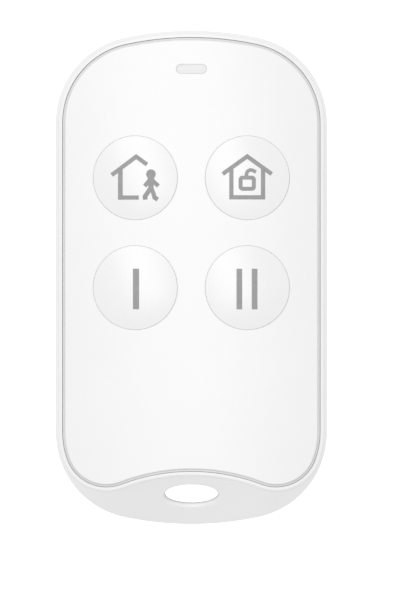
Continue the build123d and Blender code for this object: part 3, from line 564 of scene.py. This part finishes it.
# %% Stacks of rings
def close_stack(mesh, rings):
    """Joins each ring of vertices to the next and closes both ends."""
    mesh.faces.new(list(reversed(rings[0])))
    mesh.faces.new(rings[-1])
    for lower, upper in zip(rings, rings[1:]):
        for i in range(len(lower)):
            j = (i + 1) % len(lower)
            mesh.faces.new((lower[i], lower[j], upper[j], upper[i]))


print(close_stack.__doc__)

# %% Discs
disc_steps = 32


def add_disc(mesh, middle, radius):
    """Adds an upright round bar."""
    ring = arc_points(middle, radius, 0, 360, disc_steps)[:-1]
    close_stack(mesh, [[mesh.verts.new((*point, z)) for point in ring] for z in (0, bar_height)])


print("a disc has", disc_steps, "sides")

# %% [markdown]
# The four signs, in millimetres from the middle of their button: a house that a person walks
# out of, for arming when leaving; a house with an open padlock, for disarming; and one and two
# bars for the two free functions. They could be drawn as curves with handles, but they are
# plain enough to be typed as points. Both houses share their sizes, as one hand would draw
# them. The person is a head, a neck, a body, a chain for both arms and a chain for each leg.

# %% The house
roof_reach = 3.06
roof_foot = 0.54
ridge_height = 2.74
wall_x = 1.98
wall_top = 1.22
house_floor = -2.38
print("house", round(ridge_height - house_floor, 2), "mm high")

# %% The person
person_x = 1.93
head_radius = 0.60
neck_width = 0.82
body_width = 0.66
arm_width = 0.52
rear_leg_width = 0.57
front_leg_width = 0.54


def add_person(mesh):
    hip = (person_x, -1.12)
    add_disc(mesh, (person_x, 0.55), head_radius)
    add_stroke(mesh, [(person_x, 0.40), (person_x, -0.28)], neck_width)
    add_stroke(mesh, [(person_x, -0.20), hip], body_width)
    add_stroke(mesh, [(1.14, -0.95), (1.62, -0.38), (2.24, -0.38), (2.86, -0.93)], arm_width)
    add_stroke(mesh, [(1.22, -2.64), (1.18, -2.26), hip], rear_leg_width)
    add_stroke(mesh, [hip, (2.26, -1.92), (2.38, -2.38), (2.78, -2.63)], front_leg_width)


print("a head of", 2 * head_radius, "mm on a body of", body_width, "mm")

# %% The house that is left
arm_shift = 0.08
eave_drop = 0.10
arm_wall_width = 0.58


def draw_arm(mesh):
    eave = (arm_shift - roof_reach, roof_foot - eave_drop)
    wall = arm_shift - wall_x
    add_stroke(mesh, [eave, (arm_shift, ridge_height), (1.43, 1.75)])
    add_stroke(mesh, [(wall, wall_top), (wall, house_floor - ink_width / 2)], arm_wall_width)
    add_stroke(mesh, [(wall, house_floor), (0.40, house_floor)])
    add_person(mesh)


print("the left eave is", eave_drop, "mm lower than on the other house")

# %% [markdown]
# The padlock is a closed stroke with a hook on it. Its shackle stands open to the right, so it
# is a short leg that runs into a part of a circle. The body could be a disc or a filled square
# with a hole cut in, but a stroke gives its wall one width all round, as a pen does.

# %% The padlock
lock_x = 0.83
lock_top = 0.08
lock_bottom = -1.31
lock_round = 0.25
lock_round_steps = 6
lock_width = 0.49
shackle_radius = 0.56
shackle_steps = 12
shackle_width = 0.44


def add_padlock(mesh):
    side, top, bottom = lock_x - lock_round, lock_top - lock_round, lock_bottom + lock_round
    outline = []
    for x, y, start in ((side, top, 0), (-side, top, 90), (-side, bottom, 180), (side, bottom, 270)):
        outline += arc_points((x, y), lock_round, start, start + 90, lock_round_steps)
    add_stroke(mesh, outline, lock_width, closed=True)
    shackle = arc_points((0.47, 0.48), shackle_radius, 175, 55, shackle_steps)
    add_stroke(mesh, [(-0.13, 0.10)] + shackle + [(1.09, 0.78)], shackle_width)


print("padlock", 2 * lock_x, "mm wide")

# %% The house with the open padlock
def draw_disarm(mesh):
    add_stroke(mesh, [(-roof_reach, roof_foot), (0, ridge_height), (roof_reach, roof_foot)])
    low, high = house_floor, wall_top
    add_stroke(mesh, [(-wall_x, high), (-wall_x, low), (wall_x, low), (wall_x, high)])
    add_padlock(mesh)


print("house", 2 * roof_reach, "mm wide over the eaves")

# %% [markdown]
# The bars are single strokes, a little wider than the strokes of the houses. A box for each
# would look the same, but as strokes they go the same way as the other signs. The single bar
# is a touch wider than each of the two, as on the real fob.

# %% The bars
bar_width = 0.70
single_bar_width = 0.76
bar_top = 2.38
bar_bottom = -2.69
bar_spacing = 1.91


def draw_one(mesh):
    add_stroke(mesh, [(0, bar_bottom), (0, bar_top)], single_bar_width)


def draw_two(mesh):
    for x in (-bar_spacing / 2, bar_spacing / 2):
        add_stroke(mesh, [(x, bar_bottom), (x, bar_top)], bar_width)


print("bars", round(bar_top - bar_bottom, 2), "mm long")

# %% [markdown]
# To lay a sign on its button, the button's dome has to be known. Blender could press the sign
# down with a Shrinkwrap modifier, but the cap's mesh is faceted, and the ink would take over
# its facets. The dome is part of a sphere, so a least squares fit through the top vertices of
# the cap gives its middle and its radius. The fit is solved once per button, since each button
# sits at its own slant on the crowned cover. The button's own middle comes from the round
# flange that lies under the cover.

# %% Measure a button's dome
flange_from = 0.5
flange_to = 2.0
dome_depth = 1.0
dome_reach = 4.9


def button_dome(cap):
    """Finds the middle of the button, and the middle and radius of its dome, in mm."""
    low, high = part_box(cap.name)
    flange = [(v.co / MM).x for v in cap.data.vertices
              if low.z + flange_from * MM < v.co.z < low.z + flange_to * MM]
    middle = ((min(flange) + max(flange)) / 2, (low.y + high.y) / 2 / MM)
    top = [v.co / MM for v in cap.data.vertices if v.co.z > high.z - dome_depth * MM]
    top = [p for p in top if math.hypot(p.x - middle[0], p.y - middle[1]) < dome_reach]
    rows = numpy.array([[2 * p.x, 2 * p.y, 2 * p.z, 1] for p in top])
    answer = numpy.linalg.lstsq(rows, numpy.array([p.length_squared for p in top]), rcond=None)[0]
    centre = Vector(answer[:3])
    return middle, centre, math.sqrt(answer[3] + centre.length_squared)


for name in button_names:
    middle, centre, radius = button_dome(nodes[f"{name}_button_cap"])
    print(name, "button at", [round(v, 2) for v in middle], "dome radius", round(radius, 2), "mm")

# %% [markdown]
# Joining the bars: where strokes overlap, their walls run on inside each other, and printed
# ink has no such walls. A voxel remesh would melt them together, but it rounds the corners. An
# exact Boolean union makes one clean outline. It is run in millimetres, since distances of a
# few micrometres in metres come close to what Blender treats as the same point.

# %% Result of a Boolean
def with_boolean(base, tool, operation, join_itself=False):
    """Makes the mesh of the base with the tool joined to it or cut out of it."""
    for item in (base, tool):
        bpy.context.scene.collection.objects.link(item)
    boolean = base.modifiers.new("boolean", "BOOLEAN")
    boolean.operation = operation
    boolean.solver = "EXACT"
    boolean.use_self = join_itself
    boolean.object = tool
    bpy.context.view_layer.update()
    depsgraph = bpy.context.evaluated_depsgraph_get()
    result = bpy.data.meshes.new_from_object(base.evaluated_get(depsgraph))
    bpy.data.objects.remove(base)
    bpy.data.objects.remove(tool)
    return result


print(with_boolean.__doc__)

# %% Join overlapping bars
def joined(name, mesh):
    """Makes one mesh without inner walls from overlapping closed bars."""
    data = bpy.data.meshes.new(name)
    bmesh.ops.recalc_face_normals(mesh, faces=mesh.faces)
    mesh.to_mesh(data)
    mesh.free()
    bars = bpy.data.objects.new(name, data)
    start = bpy.data.objects.new(name + " start", bpy.data.meshes.new(name + " start"))
    return with_boolean(start, bars, "UNION", join_itself=True)


print(joined.__doc__)

# %% [markdown]
# Cutting fine: the flat outline has long edges, and they would bridge the dome like planks.
# All edges over a quarter of a millimetre are halved until none is left. Then each vertex is
# moved up or down to the sphere: the upper ones a touch above it, the lower ones just below.

# %% Cut a flat sign fine
longest_edge = 0.25


def is_long(edge):
    start, end = edge.verts
    return math.hypot(*(start.co - end.co).xy) > longest_edge


def cut_fine(mesh):
    """Halves edges until none is too long to follow the dome."""
    bmesh.ops.triangulate(mesh, faces=mesh.faces)
    while long_edges := [edge for edge in mesh.edges if is_long(edge)]:
        bmesh.ops.subdivide_edges(mesh, edges=long_edges, cuts=1)
        bmesh.ops.triangulate(mesh, faces=mesh.faces)


print("edges are halved down to", longest_edge, "mm")

# %% Lay it on the dome
ink_thickness = 0.015
ink_root = 0.03


def laid_on_dome(data, middle, centre, radius):
    """Bends a flat sign over the dome and turns it from millimetres to metres."""
    mesh = bmesh.new()
    mesh.from_mesh(data)
    cut_fine(mesh)
    for vertex in mesh.verts:
        vertex.co.x += middle[0]
        vertex.co.y += middle[1]
        aside = (vertex.co - centre).xy.length
        over = ink_thickness if vertex.co.z > bar_height / 2 else -ink_root
        vertex.co.z = centre.z + math.sqrt((radius + over) ** 2 - aside**2)
    mesh.to_mesh(data)
    mesh.free()
    data.transform(Matrix.Scale(MM, 4))


print("ink film", ink_thickness, "mm over the dome, rooted", ink_root, "mm in it")

# %% [markdown]
# Ink is matter than the satin plastic under it, and a pad print is never quite even: it is
# a little thinner in some places, where the white shines through. Real see-through ink would
# show its own root in the plastic, so the colour drifts instead.

# %% Grey ink
ink, ink_shader = bare_finish("grey pad print", roughness=0.55)
ink_cloud = grain(ink, 0.7 * MM, detail=3.0)
colour_between(ink, ink_shader, ink_cloud, dark=(0.31, 0.31, 0.315), light=(0.355, 0.355, 0.36))
raised_by(ink, ink_shader, grain(ink, 0.06 * MM), height=0.001 * MM)
print("ink of", ink.name)

# %% [markdown]
# A print never lands quite in the middle of its button. Here it is off by about a tenth of a
# millimetre, and differently on each button. The shift could be part of each drawing, but a
# table of its own keeps the drawings centred.

# %% Print the four signs
drawings = {"arm": draw_arm, "disarm": draw_disarm, "one": draw_one, "two": draw_two}
print_shift = {"arm": (0.03, -0.12), "disarm": (-0.02, -0.09),
               "one": (0.09, -0.03), "two": (-0.05, -0.04)}
for name, draw in drawings.items():
    mesh = bmesh.new()
    draw(mesh)
    data = joined(f"{name}_sign", mesh)
    middle, centre, radius = button_dome(nodes[f"{name}_button_cap"])
    printed_at = (middle[0] + print_shift[name][0], middle[1] + print_shift[name][1])
    laid_on_dome(data, printed_at, centre, radius)
    data.materials.append(ink)
    sign = bpy.data.objects.new(f"{name}_sign", data)
    bpy.context.scene.collection.objects.link(sign)
    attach(sign, f"{name}_button")
    print(sign.name, "has", len(data.polygons), "faces")

# %% [markdown]
# ## Screws with threads
# The frame's screws are plain: a head, a shank and a cross. From the back one looks straight at
# the heads, so they are made again with a tapered cross and a real thread. A Screw modifier
# could wind a thread, but its ends stay open. A screw turns round its own axis, so both the
# head and the thread are lathe work: a profile that is swept round.
#
# Where they go comes from the frame. Two screws share one piece there, so its mesh is first
# taken apart: vertices that edges join belong to one body.

# %% Find the separate bodies in one piece of the frame
same_point = 1e-7


def separate_boxes(name):
    """Finds the low and high corner of each loose body in a piece, in metres."""
    mesh = bmesh.new()
    mesh.from_mesh(nodes[name].data)
    bmesh.ops.remove_doubles(mesh, verts=mesh.verts, dist=same_point)
    seen, boxes = set(), []
    for first in mesh.verts:
        if first in seen:
            continue
        group, waiting = [], [first]
        seen.add(first)
        while waiting:
            vertex = waiting.pop()
            group.append(vertex.co.copy())
            for edge in vertex.link_edges:
                other = edge.other_vert(vertex)
                if other not in seen:
                    seen.add(other)
                    waiting.append(other)
        boxes.append((Vector(map(min, zip(*group))), Vector(map(max, zip(*group)))))
    mesh.free()
    return boxes


screw_boxes = separate_boxes("cover_screws")
print(len(screw_boxes), "screws of", rounded_mm(screw_boxes[0][1] - screw_boxes[0][0]), "mm")

# %% [markdown]
# The thread is a grid of rings round the shank. A point's radius depends on how far it is
# along the pitch at its own angle, and that alone turns a stack of circles into a helix. It
# starts under the head and fades into the point.

# %% Thread
screw_core_radius = 0.72
screw_crest_radius = 0.975
screw_pitch = 0.7
ridge_share = 0.32
thread_start = 0.4
point_length = 1.6
tip_share = 0.25


def thread_radius(height, turn, length):
    """Finds the radius of the thread at a height above the head and at an angle, in mm."""
    phase = (height / screw_pitch - turn / (2 * math.pi)) % 1
    ridge = max(0.0, 1 - abs(phase - 0.5) / ridge_share)
    to_tip = (length - height) / point_length
    fade = min(1.0, height / thread_start) * min(1.0, max(0.0, to_tip))
    taper = min(1.0, max(tip_share, to_tip + tip_share))
    return (screw_core_radius + (screw_crest_radius - screw_core_radius) * ridge * fade) * taper


print("a thread of", screw_pitch, "mm pitch and", 2 * screw_crest_radius, "mm across")

# %% Head and thread as one lathe form
screw_head_height = 1.2
screw_row_height = 0.05
turn_steps = 40
head_profile = [(0.9, 0.0), (1.30, 0.06), (1.58, 0.20), (1.74, 0.42), (1.80, 0.70),
                (1.80, screw_head_height)]


def screw_rings(shank_length):
    """Lists the radius and height of every point, ring by ring."""
    rings = [[(radius, height)] * turn_steps for radius, height in head_profile]
    turns = [2 * math.pi * i / turn_steps for i in range(turn_steps)]
    rows = int(shank_length / screw_row_height)
    for row in range(rows + 1):
        height = shank_length * row / rows
        ring_height = screw_head_height + height
        rings.append([(thread_radius(height, turn, shank_length), ring_height) for turn in turns])
    return rings


print("a head of", 2 * head_profile[-1][0], "mm across")

# %% Rings into a mesh
def closed_from_rings(rings):
    """Makes a closed mesh from the radius and height of every point."""
    mesh = bmesh.new()
    stack = []
    for ring in rings:
        turns = [2 * math.pi * i / len(ring) for i in range(len(ring))]
        points = [(r * math.cos(t), r * math.sin(t), z) for (r, z), t in zip(ring, turns)]
        stack.append([mesh.verts.new(point) for point in points])
    close_stack(mesh, stack)
    bmesh.ops.recalc_face_normals(mesh, faces=mesh.faces)
    return mesh


print(closed_from_rings.__doc__)

# %% [markdown]
# The cross recess narrows towards its floor so that the driver centres itself. Modelling it
# into the rings would break their even grid. It is cut out with a Boolean difference instead,
# by a tapered cross of two bars.

# %% Tapered cross
cross_reach = 1.0
cross_width = 0.52
cross_depth = 0.7
cross_flank_share = 0.9
cross_rows = ((-0.3, 1.1), (cross_depth, 0.6))
quarters = ((1, 1), (-1, 1), (-1, -1), (1, -1))


def cross_cutter():
    """Makes a cross whose arms get shorter from row to row."""
    mesh = bmesh.new()
    for lengthwise in (True, False):
        rows = []
        for z, reach_share in cross_rows:
            half_x, half_y = cross_reach * reach_share, cross_width / 2 * cross_flank_share
            if not lengthwise:
                half_x, half_y = half_y, half_x
            rows.append([mesh.verts.new((x * half_x, y * half_y, z)) for x, y in quarters])
        close_stack(mesh, rows)
    return joined("cross cutter", mesh)


print("a cross of", 2 * cross_reach, "by", cross_width, "mm")

# %% Cut the cross
def with_cross(mesh):
    """Cuts the cross into the head of a screw."""
    body = bpy.data.objects.new("screw", bpy.data.meshes.new("screw"))
    mesh.to_mesh(body.data)
    mesh.free()
    return with_boolean(body, bpy.data.objects.new("cross cutter", cross_cutter()), "DIFFERENCE")


print(with_cross.__doc__)

# %% [markdown]
# Round forms look smooth only if their faces are shaded smooth, but the rim of the head and the
# edges of the cross have to stay crisp. Marking edges sharp by angle gives both. Two screws
# driven by hand never stop at the same angle, so each cross is turned its own way.

# %% Smooth shading with crisp edges
def shade_round(data, crisp_angle):
    """Shades faces smooth and keeps edges crisp from this angle up, in degrees."""
    data.polygons.foreach_set("use_smooth", [True] * len(data.polygons))
    data.set_sharp_from_angle(angle=math.radians(crisp_angle))


print(shade_round.__doc__)

# %% Turn the two screws
first_turn = 20
further_turn = 35
screws = bpy.data.meshes.new("screws")
both = bmesh.new()
for number, (low, high) in enumerate(screw_boxes):
    middle = (low + high) / 2
    shank_length = (high.z - low.z) / MM - screw_head_height
    one_screw = with_cross(closed_from_rings(screw_rings(shank_length)))
    one_screw.transform(Matrix.Rotation(math.radians(first_turn + further_turn * number), 4, "Z"))
    one_screw.transform(Matrix.Scale(MM, 4))
    one_screw.transform(Matrix.Translation((middle.x, middle.y, low.z)))
    both.from_mesh(one_screw)
both.to_mesh(screws)
both.free()
shade_round(screws, crisp_angle=35)
print("threaded screws have", len(screws.polygons), "faces")

# %% Set them in place of the plain ones
screws.materials.append(zinc)
threaded_screws = bpy.data.objects.new("threaded_screws", screws)
bpy.context.scene.collection.objects.link(threaded_screws)
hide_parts("cover_screws")
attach(threaded_screws, "housing")
print(threaded_screws.name, "take the place of the plain ones")

# %% [markdown]
# ## Solder and tinned ends
# On a real board no part simply stands on the green lacquer. Each foot sits in a small fillet
# of solder, and each chip part has tinned ends. They could be modelled one by one, but there
# are dozens, and they can be worked out from the parts themselves: every loose body of a piece
# gives a box, and the solder is a low skirt round it with a hollow slope, as molten tin takes
# when it wets a pad. A skirt is a list of steps, each with how far out and how far up it is.

# %% A solder skirt round a box
def add_skirt(mesh, low, high, steps):
    """Adds a skirt from the foot of a body up to its top, in mm."""
    rings = []
    rise = (high.z - low.z) / steps[-1][1]
    for out, up in steps:
        east, west, north, south = high.x + out, low.x - out, high.y + out, low.y - out
        corners = ((east, north), (west, north), (west, south), (east, south))
        rings.append([mesh.verts.new((x, y, low.z + up * rise)) for x, y in corners])
    close_stack(mesh, rings)


print(add_skirt.__doc__)

# %% [markdown]
# A chip part is soldered at its two ends. Its ends are found from its box: they lie along its
# longer side. The tinned end wraps round the body as a thin cuff, and the solder stands
# against the cuff. Two cuffs are two more boxes, and the helper gives their corners.

# %% Ends of a chip part
cuff_length = 0.32
cuff_thickness = 0.02


def chip_ends(low, high):
    """Finds two boxes that wrap round the ends of a chip part, in mm."""
    along = 0 if high.x - low.x > high.y - low.y else 1
    ends = []
    for side in (0, 1):
        end_low = low - Vector((cuff_thickness, cuff_thickness, 0))
        end_high = high + Vector((cuff_thickness, cuff_thickness, cuff_thickness))
        if side == 0:
            end_high[along] = low[along] + cuff_length
        else:
            end_low[along] = high[along] - cuff_length
        ends.append((end_low, end_high))
    return ends


print("tinned cuffs", cuff_length, "mm long")

# %% Solder the chip parts
chip_skirt = [(0.16, 0.0), (0.08, 0.04), (0.02, 0.14), (0.0, 0.2)]


def in_mm(box):
    """Turns the two corners of a box from metres to millimetres."""
    return box[0] / MM, box[1] / MM


solder = bmesh.new()
for name in ("chip_capacitors", "chip_resistors", "chip_inductors"):
    for low, high in map(in_mm, separate_boxes(name)):
        for end_low, end_high in chip_ends(low, high):
            add_skirt(solder, end_low, end_high, chip_skirt)
print("solder has", len(solder.faces), "faces so far")

# %% [markdown]
# The legs of the switches and the leads of the chip have their feet at the bottom of their box,
# so only the lowest part is wetted there. The status light is soldered like a chip part, but
# only its pale base has tinned ends, and its clear top stays free.

# %% Solder the feet and the status light
foot_height = 0.16
foot_skirt = [(0.14, 0.0), (0.10, 0.03), (0.03, 0.12), (0.01, 0.2)]
light_pad_height = 0.3
light_skirt = [(0.16, 0.0), (0.06, 0.05), (0.01, 0.2)]
for name in ["control_chip_leads"] + [f"{name}_switch_legs" for name in button_names]:
    for low, high in map(in_mm, separate_boxes(name)):
        add_skirt(solder, low, Vector((high.x, high.y, low.z + foot_height)), foot_skirt)
light_low, light_high = in_mm(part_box("status_led"))
light_high.z = light_low.z + light_pad_height
for end_low, end_high in chip_ends(light_low, light_high):
    add_skirt(solder, end_low, end_high, light_skirt)
print("solder has", len(solder.faces), "faces so far")

# %% [markdown]
# The antenna is a round wire that comes up through the board. A skirt round its box would come
# out square, so its solder is a round cone with a hollow flank, one at each end of the wire,
# where it meets the board's upper side.

# %% Solder cones round the antenna wire
cone_steps = 24
cone_profile = [(0.42, 0.0), (0.40, 0.03), (0.20, 0.14), (0.07, 0.34), (0.01, 0.60)]
wire_low, wire_high = in_mm(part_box("wire_antenna"))
board_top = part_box("circuit_board")[1].z / MM
wire_radius = (wire_high.y - wire_low.y) / 2
wire_y = (wire_low.y + wire_high.y) / 2
for wire_x in (wire_low.x + wire_radius, wire_high.x - wire_radius):
    rings = []
    for out, up in cone_profile:
        ring = arc_points((wire_x, wire_y), wire_radius + out, 0, 360, cone_steps)[:-1]
        rings.append([solder.verts.new((*point, board_top + up)) for point in ring])
    close_stack(solder, rings)
print("a wire of", round(2 * wire_radius, 2), "mm in two cones of solder")

# %% [markdown]
# Every joint could be a piece of its own, but all of it is one finish and rides on one body, so
# the solder of the whole board becomes one piece.

# %% One piece of solder
bmesh.ops.recalc_face_normals(solder, faces=solder.faces)
solder_data = bpy.data.meshes.new("solder_joints")
solder.to_mesh(solder_data)
solder.free()
solder_data.transform(Matrix.Scale(MM, 4))
shade_round(solder_data, crisp_angle=50)
solder_data.materials.append(tin)
solder_joints = bpy.data.objects.new("solder_joints", solder_data)
bpy.context.scene.collection.objects.link(solder_joints)
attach(solder_joints, "housing")
print("solder joints have", len(solder_data.polygons), "faces")

# %% [markdown]
# ## Table, light and camera
# The photograph has a pure white background. The table is plain white and gives back light to
# the sides of the fob. It lies a hair under the fob, because two faces in one plane flicker. A
# rendered square is two triangles, and the table is set off to one side so that their shared
# edge runs clear of the fob.

# %% White table
table_reach = 1.5
table_top = -0.05 * MM
table_ways = [(-0.8, -1), (1.2, -1), (1.2, 1), (-0.8, 1)]
table_data = bpy.data.meshes.new("table")
corners = [(x * table_reach, y * table_reach, table_top) for x, y in table_ways]
table_data.from_pydata(corners, [], [(0, 1, 2, 3)])
table = bpy.data.objects.new("table", table_data)
bpy.context.scene.collection.objects.link(table)
print("table of", 2 * table_reach, "m")

# %% [markdown]
# White paper alone would render as a light grey. More light would whiten it, but would bleach
# the fob too. Where the camera sees the table directly, a glow is added instead, so that it
# reads as white while the soft shadow of the fob stays. A weaker glow lights the fob's sides
# from below, as the lit glass of a product table does, which keeps the chin and the rim pale.
#
# Cycles aims light samples at whatever glows, as if it were a lamp. This glow differs from ray
# to ray, and samples aimed at it left a dark mark on the back of the fob, so that is turned off.

# %% Paper that glows
paper_shade = 0.86
camera_glow = 0.75
under_glow = 0.35
table_white = bpy.data.materials.new("table white")
table_data.materials.append(table_white)
table_white.use_nodes = True
table_white.cycles.emission_sampling = "NONE"
tree = table_white.node_tree
tree.nodes.clear()
paper = tree.nodes.new("ShaderNodeBsdfDiffuse")
paper.inputs["Color"].default_value = (paper_shade, paper_shade, paper_shade, 1)
seen_by = tree.nodes.new("ShaderNodeLightPath")
fob_level = tree.nodes.new("ShaderNodeMath")
fob_level.operation = "MULTIPLY"
fob_level.inputs[1].default_value = under_glow
glow_level = tree.nodes.new("ShaderNodeMath")
glow_level.operation = "MULTIPLY_ADD"
glow_level.inputs[1].default_value = camera_glow
glow = tree.nodes.new("ShaderNodeEmission")
lit_paper = tree.nodes.new("ShaderNodeAddShader")
tree.links.new(seen_by.outputs["Is Diffuse Ray"], fob_level.inputs[0])
tree.links.new(seen_by.outputs["Is Camera Ray"], glow_level.inputs[0])
tree.links.new(fob_level.outputs["Value"], glow_level.inputs[2])
tree.links.new(glow_level.outputs["Value"], glow.inputs["Strength"])
tree.links.new(paper.outputs["BSDF"], lit_paper.inputs[0])
tree.links.new(glow.outputs["Emission"], lit_paper.inputs[1])
print("a glow of", camera_glow, "for the camera and", under_glow, "for the fob")

# %% [markdown]
# The back of the fob is worth a look too. The table could be taken away for such a view, but a
# material that knows which of its sides is seen does it by itself: from below it is clear.

# %% Clear from below
surface = tree.nodes.new("ShaderNodeOutputMaterial")
clear = tree.nodes.new("ShaderNodeBsdfTransparent")
table_side = tree.nodes.new("ShaderNodeNewGeometry")
by_side = tree.nodes.new("ShaderNodeMixShader")
tree.links.new(table_side.outputs["Backfacing"], by_side.inputs["Fac"])
tree.links.new(lit_paper.outputs["Shader"], by_side.inputs[1])
tree.links.new(clear.outputs["BSDF"], by_side.inputs[2])
tree.links.new(by_side.outputs["Shader"], surface.inputs["Surface"])
print(table_white.name, "has", len(tree.nodes), "nodes")

# %% [markdown]
# A studio for small white goods is a bright tent: even light from all sides, and one softbox
# that gives the shapes their direction. Cloth walls would do, but the world is a tent already,
# and it has no corners that show in the metal parts. It lights the fob at a plain level, while
# the camera, reflections and clear things see it as white.

# %% The tent
tent_level = 0.60
world = bpy.data.worlds.new("tent")
bpy.context.scene.world = world
world.use_nodes = True
tree = world.node_tree
tent = tree.nodes["Background"]
tent.inputs["Color"].default_value = (1, 1, 1, 1)
seen_by = tree.nodes.new("ShaderNodeLightPath")
seen = tree.nodes.new("ShaderNodeMath")
seen.operation = "MAXIMUM"
seen_or_through = tree.nodes.new("ShaderNodeMath")
seen_or_through.operation = "MAXIMUM"
level = tree.nodes.new("ShaderNodeMapRange")
level.inputs["To Min"].default_value = tent_level
level.inputs["To Max"].default_value = 1.0
tree.links.new(seen_by.outputs["Is Camera Ray"], seen.inputs[0])
tree.links.new(seen_by.outputs["Is Glossy Ray"], seen.inputs[1])
tree.links.new(seen.outputs["Value"], seen_or_through.inputs[0])
tree.links.new(seen_by.outputs["Is Transmission Ray"], seen_or_through.inputs[1])
tree.links.new(seen_or_through.outputs["Value"], level.inputs["Value"])
tree.links.new(level.outputs["Result"], tent.inputs["Strength"])
print("tent level", tent_level)

# %% [markdown]
# The softbox hangs above the light end and a little to the left. That makes the rim brighter
# on the left and top than on the right, leaves the chin in half tone, and lets each button
# shade from white at its upper edge to pale grey at its lower one. A point lamp in the same
# place would draw hard shadows.

# %% Softbox
softbox_way = Vector((-0.08, 0.24, 0.97)).normalized()
softbox_distance = 3.2
softbox_width = 1.3
softbox_length = 3.0
softbox_watts = 42.4
softbox_data = bpy.data.lights.new("softbox", "AREA")
softbox_data.shape = "RECTANGLE"
softbox_data.size = softbox_width
softbox_data.size_y = softbox_length
softbox_data.energy = softbox_watts
softbox = bpy.data.objects.new("softbox", softbox_data)
softbox.location = fob_middle + softbox_way * softbox_distance
softbox.rotation_euler = (-softbox_way).to_track_quat("-Z", "Y").to_euler()
bpy.context.scene.collection.objects.link(softbox)
print("softbox at", [round(v, 3) for v in softbox.location])

# %% [markdown]
# The photograph is taken square from the front with a long lens, and the fob isn't quite in the
# middle of the frame. One sees right through the eye in the chin, with none of its lower wall,
# so the camera stands 2 m up and a little towards that end. How many millimetres one pixel
# covers follows from the fob's width in the photograph, and the lens from that.

# %% Where the camera aims
photo_width, photo_height = 415, 600
fob_width_pixels = 271.1
fob_middle_pixels = (191.4, 277.8)
outline_height = 5 * MM
pixel = fob_size.x / fob_width_pixels
aim = Vector((
    fob_middle.x + (photo_width / 2 - fob_middle_pixels[0]) * pixel,
    fob_middle.y - (photo_height / 2 - fob_middle_pixels[1]) * pixel,
    outline_height,
))
print("one pixel is", round(pixel / MM, 4), "mm, aim at", rounded_mm(aim), "mm")

# %% Camera
camera_height = 2.0
camera_setback = 14 * MM
camera_data = bpy.data.cameras.new("camera")
camera_data.sensor_width = 36.0
camera_data.lens = camera_data.sensor_width * (camera_height - outline_height) / (photo_height * pixel)
camera_data.clip_start = 0.05
camera_data.clip_end = 20.0
camera = bpy.data.objects.new("camera", camera_data)
camera.location = aim + Vector((0, -camera_setback, camera_height - outline_height))
camera.rotation_euler = (aim - camera.location).to_track_quat("-Z", "Y").to_euler()
bpy.context.scene.collection.objects.link(camera)
bpy.context.scene.camera = camera
bpy.context.scene.view_settings.view_transform = "Standard"
print("lens", round(camera_data.lens, 1), "mm")

# %% [markdown]
